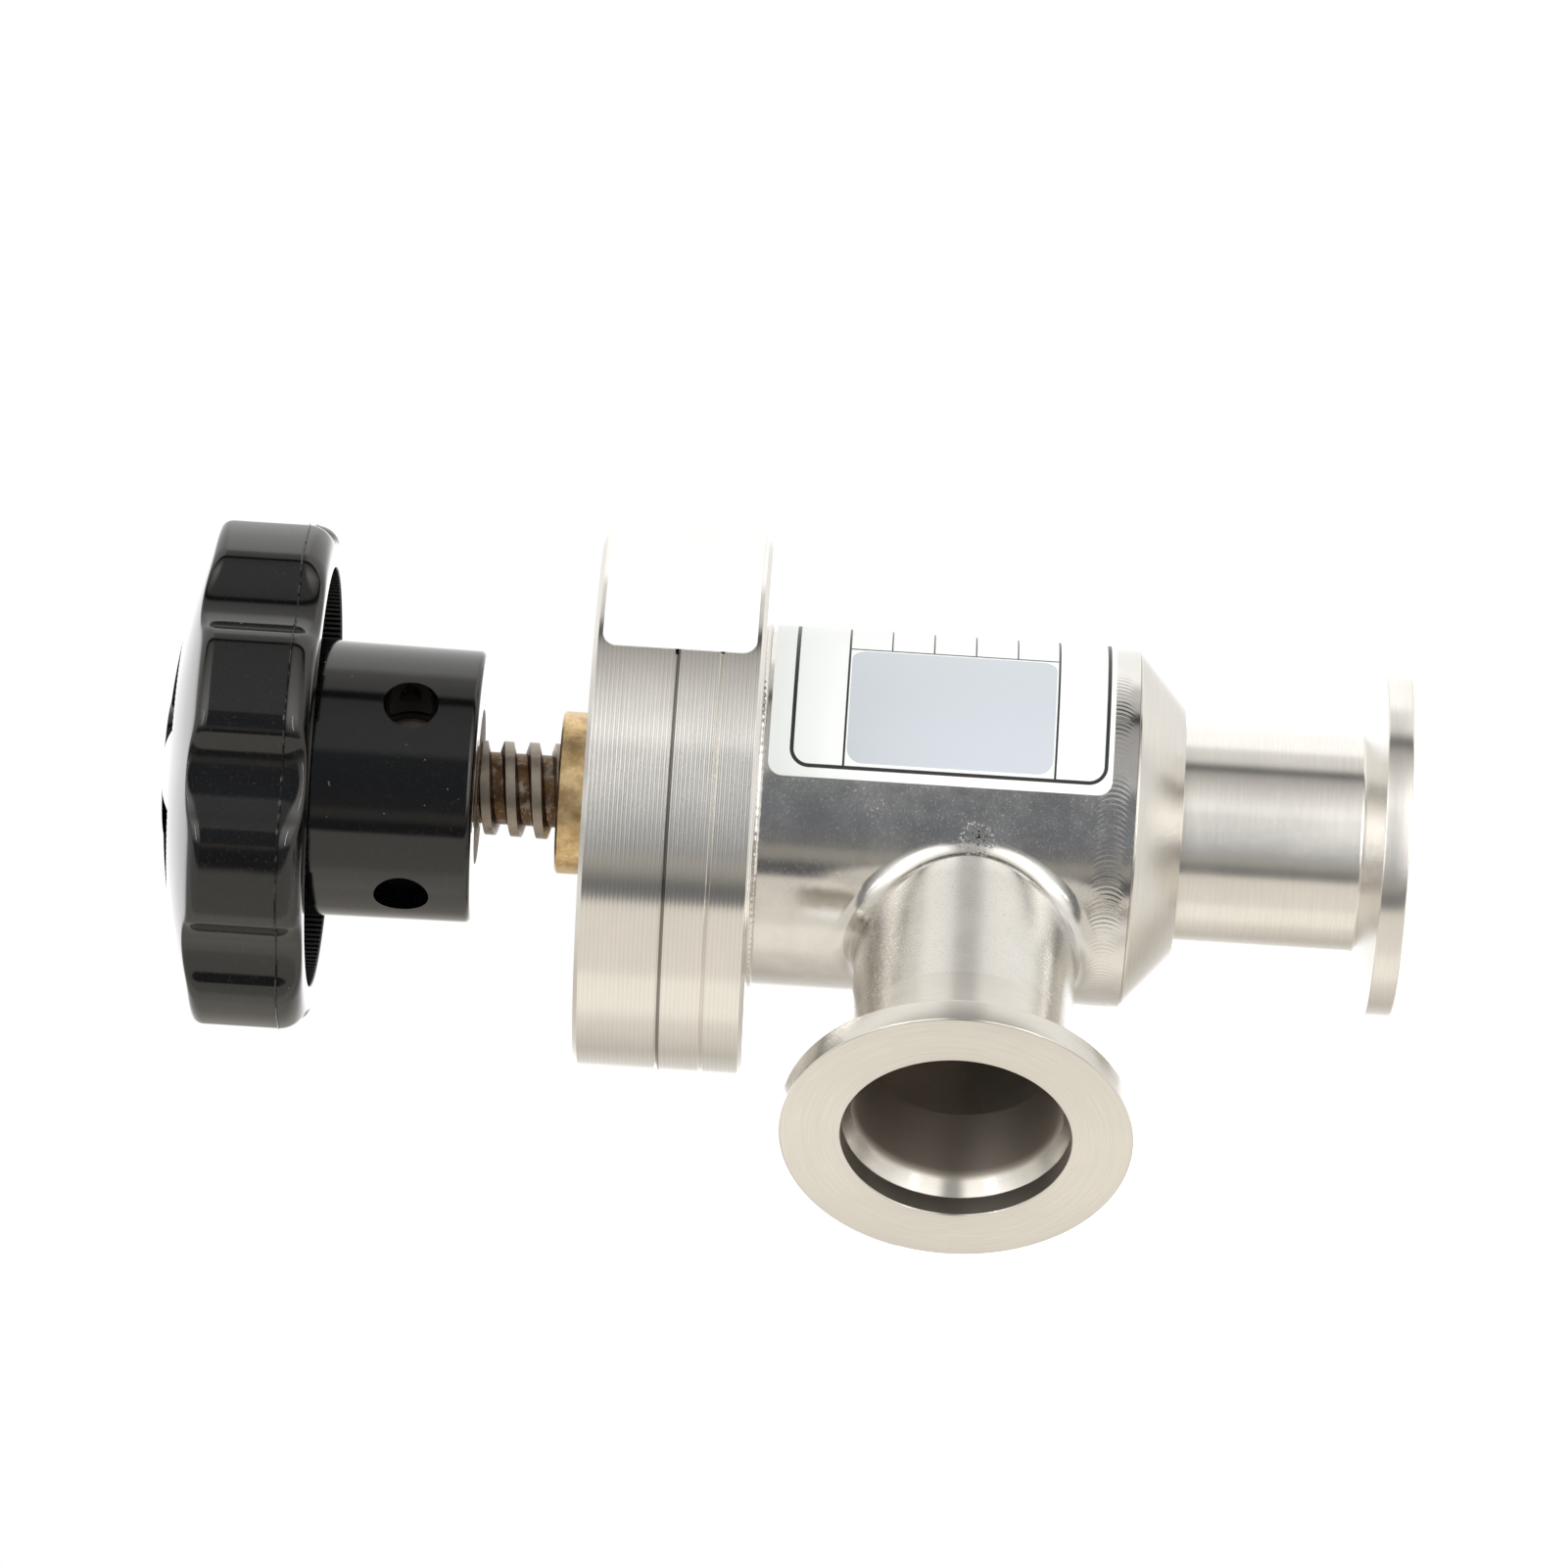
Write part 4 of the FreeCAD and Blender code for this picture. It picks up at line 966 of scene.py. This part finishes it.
class VALVE_OT_stage(bpy.types.Operator):
    """Set up the floor, the soft studio light and the camera"""
    bl_idname = "valve.stage"
    bl_label = "Stage"

    def execute(self, context):
        stage = context.scene.valve_stage
        studio_world()
        pale_floor(stage.floor_size)
        soft_light("key_light", 20, 60, 1.6, 1.2, 12)
        away = Vector((math.sin(stage.azimuth) * math.cos(stage.elevation),
                       -math.cos(stage.azimuth) * math.cos(stage.elevation), math.sin(stage.elevation)))
        level = Vector((math.cos(stage.azimuth), math.sin(stage.azimuth), 0))
        upright = away.cross(level)
        right = level * math.cos(stage.roll) + upright * math.sin(stage.roll)
        pose = Matrix((right, away.cross(right), away)).transposed()
        deselect_all()
        bpy.ops.object.camera_add(location=Vector(stage.target) + away * stage.distance,
                                  rotation=pose.to_euler())
        camera = context.object
        camera.name = "studio_camera"
        camera.data.lens = stage.lens
        camera.data.clip_start = 0.01
        context.scene.camera = camera
        context.scene.view_settings.view_transform = "Standard"
        return {"FINISHED"}


class VALVE_PT_panel(bpy.types.Panel):
    bl_label = "Right-angle valve"
    bl_idname = "VALVE_PT_panel"
    bl_space_type = "VIEW_3D"
    bl_region_type = "UI"
    bl_category = "Valve"

    def draw(self, context):
        for operator in OPERATORS:
            self.layout.operator(operator.bl_idname)
        for name, group in GROUPS.items():
            box = self.layout.box()
            for key in group.__annotations__:
                box.prop(getattr(context.scene, name), key)


GROUPS = {"valve_sizes": ValveSizes, "valve_colours": ValveColours, "valve_stage": ValveStage}
OPERATORS = (VALVE_OT_stage, VALVE_OT_ports, VALVE_OT_body, VALVE_OT_stack, VALVE_OT_bellows,
             VALVE_OT_carriage, VALVE_OT_stem, VALVE_OT_handwheel, VALVE_OT_labels)


def register():
    for kind in (*GROUPS.values(), *OPERATORS, VALVE_PT_panel):
        bpy.utils.register_class(kind)
    for name, group in GROUPS.items():
        setattr(bpy.types.Scene, name, PointerProperty(type=group))


def unregister():
    for name in GROUPS:
        delattr(bpy.types.Scene, name)
    for kind in reversed((*GROUPS.values(), *OPERATORS, VALVE_PT_panel)):
        bpy.utils.unregister_class(kind)


def main():
    register()
    for operator in OPERATORS:
        group, name = operator.bl_idname.split(".")
        getattr(getattr(bpy.ops, group), name)()


if __name__ == "__main__":
    main()
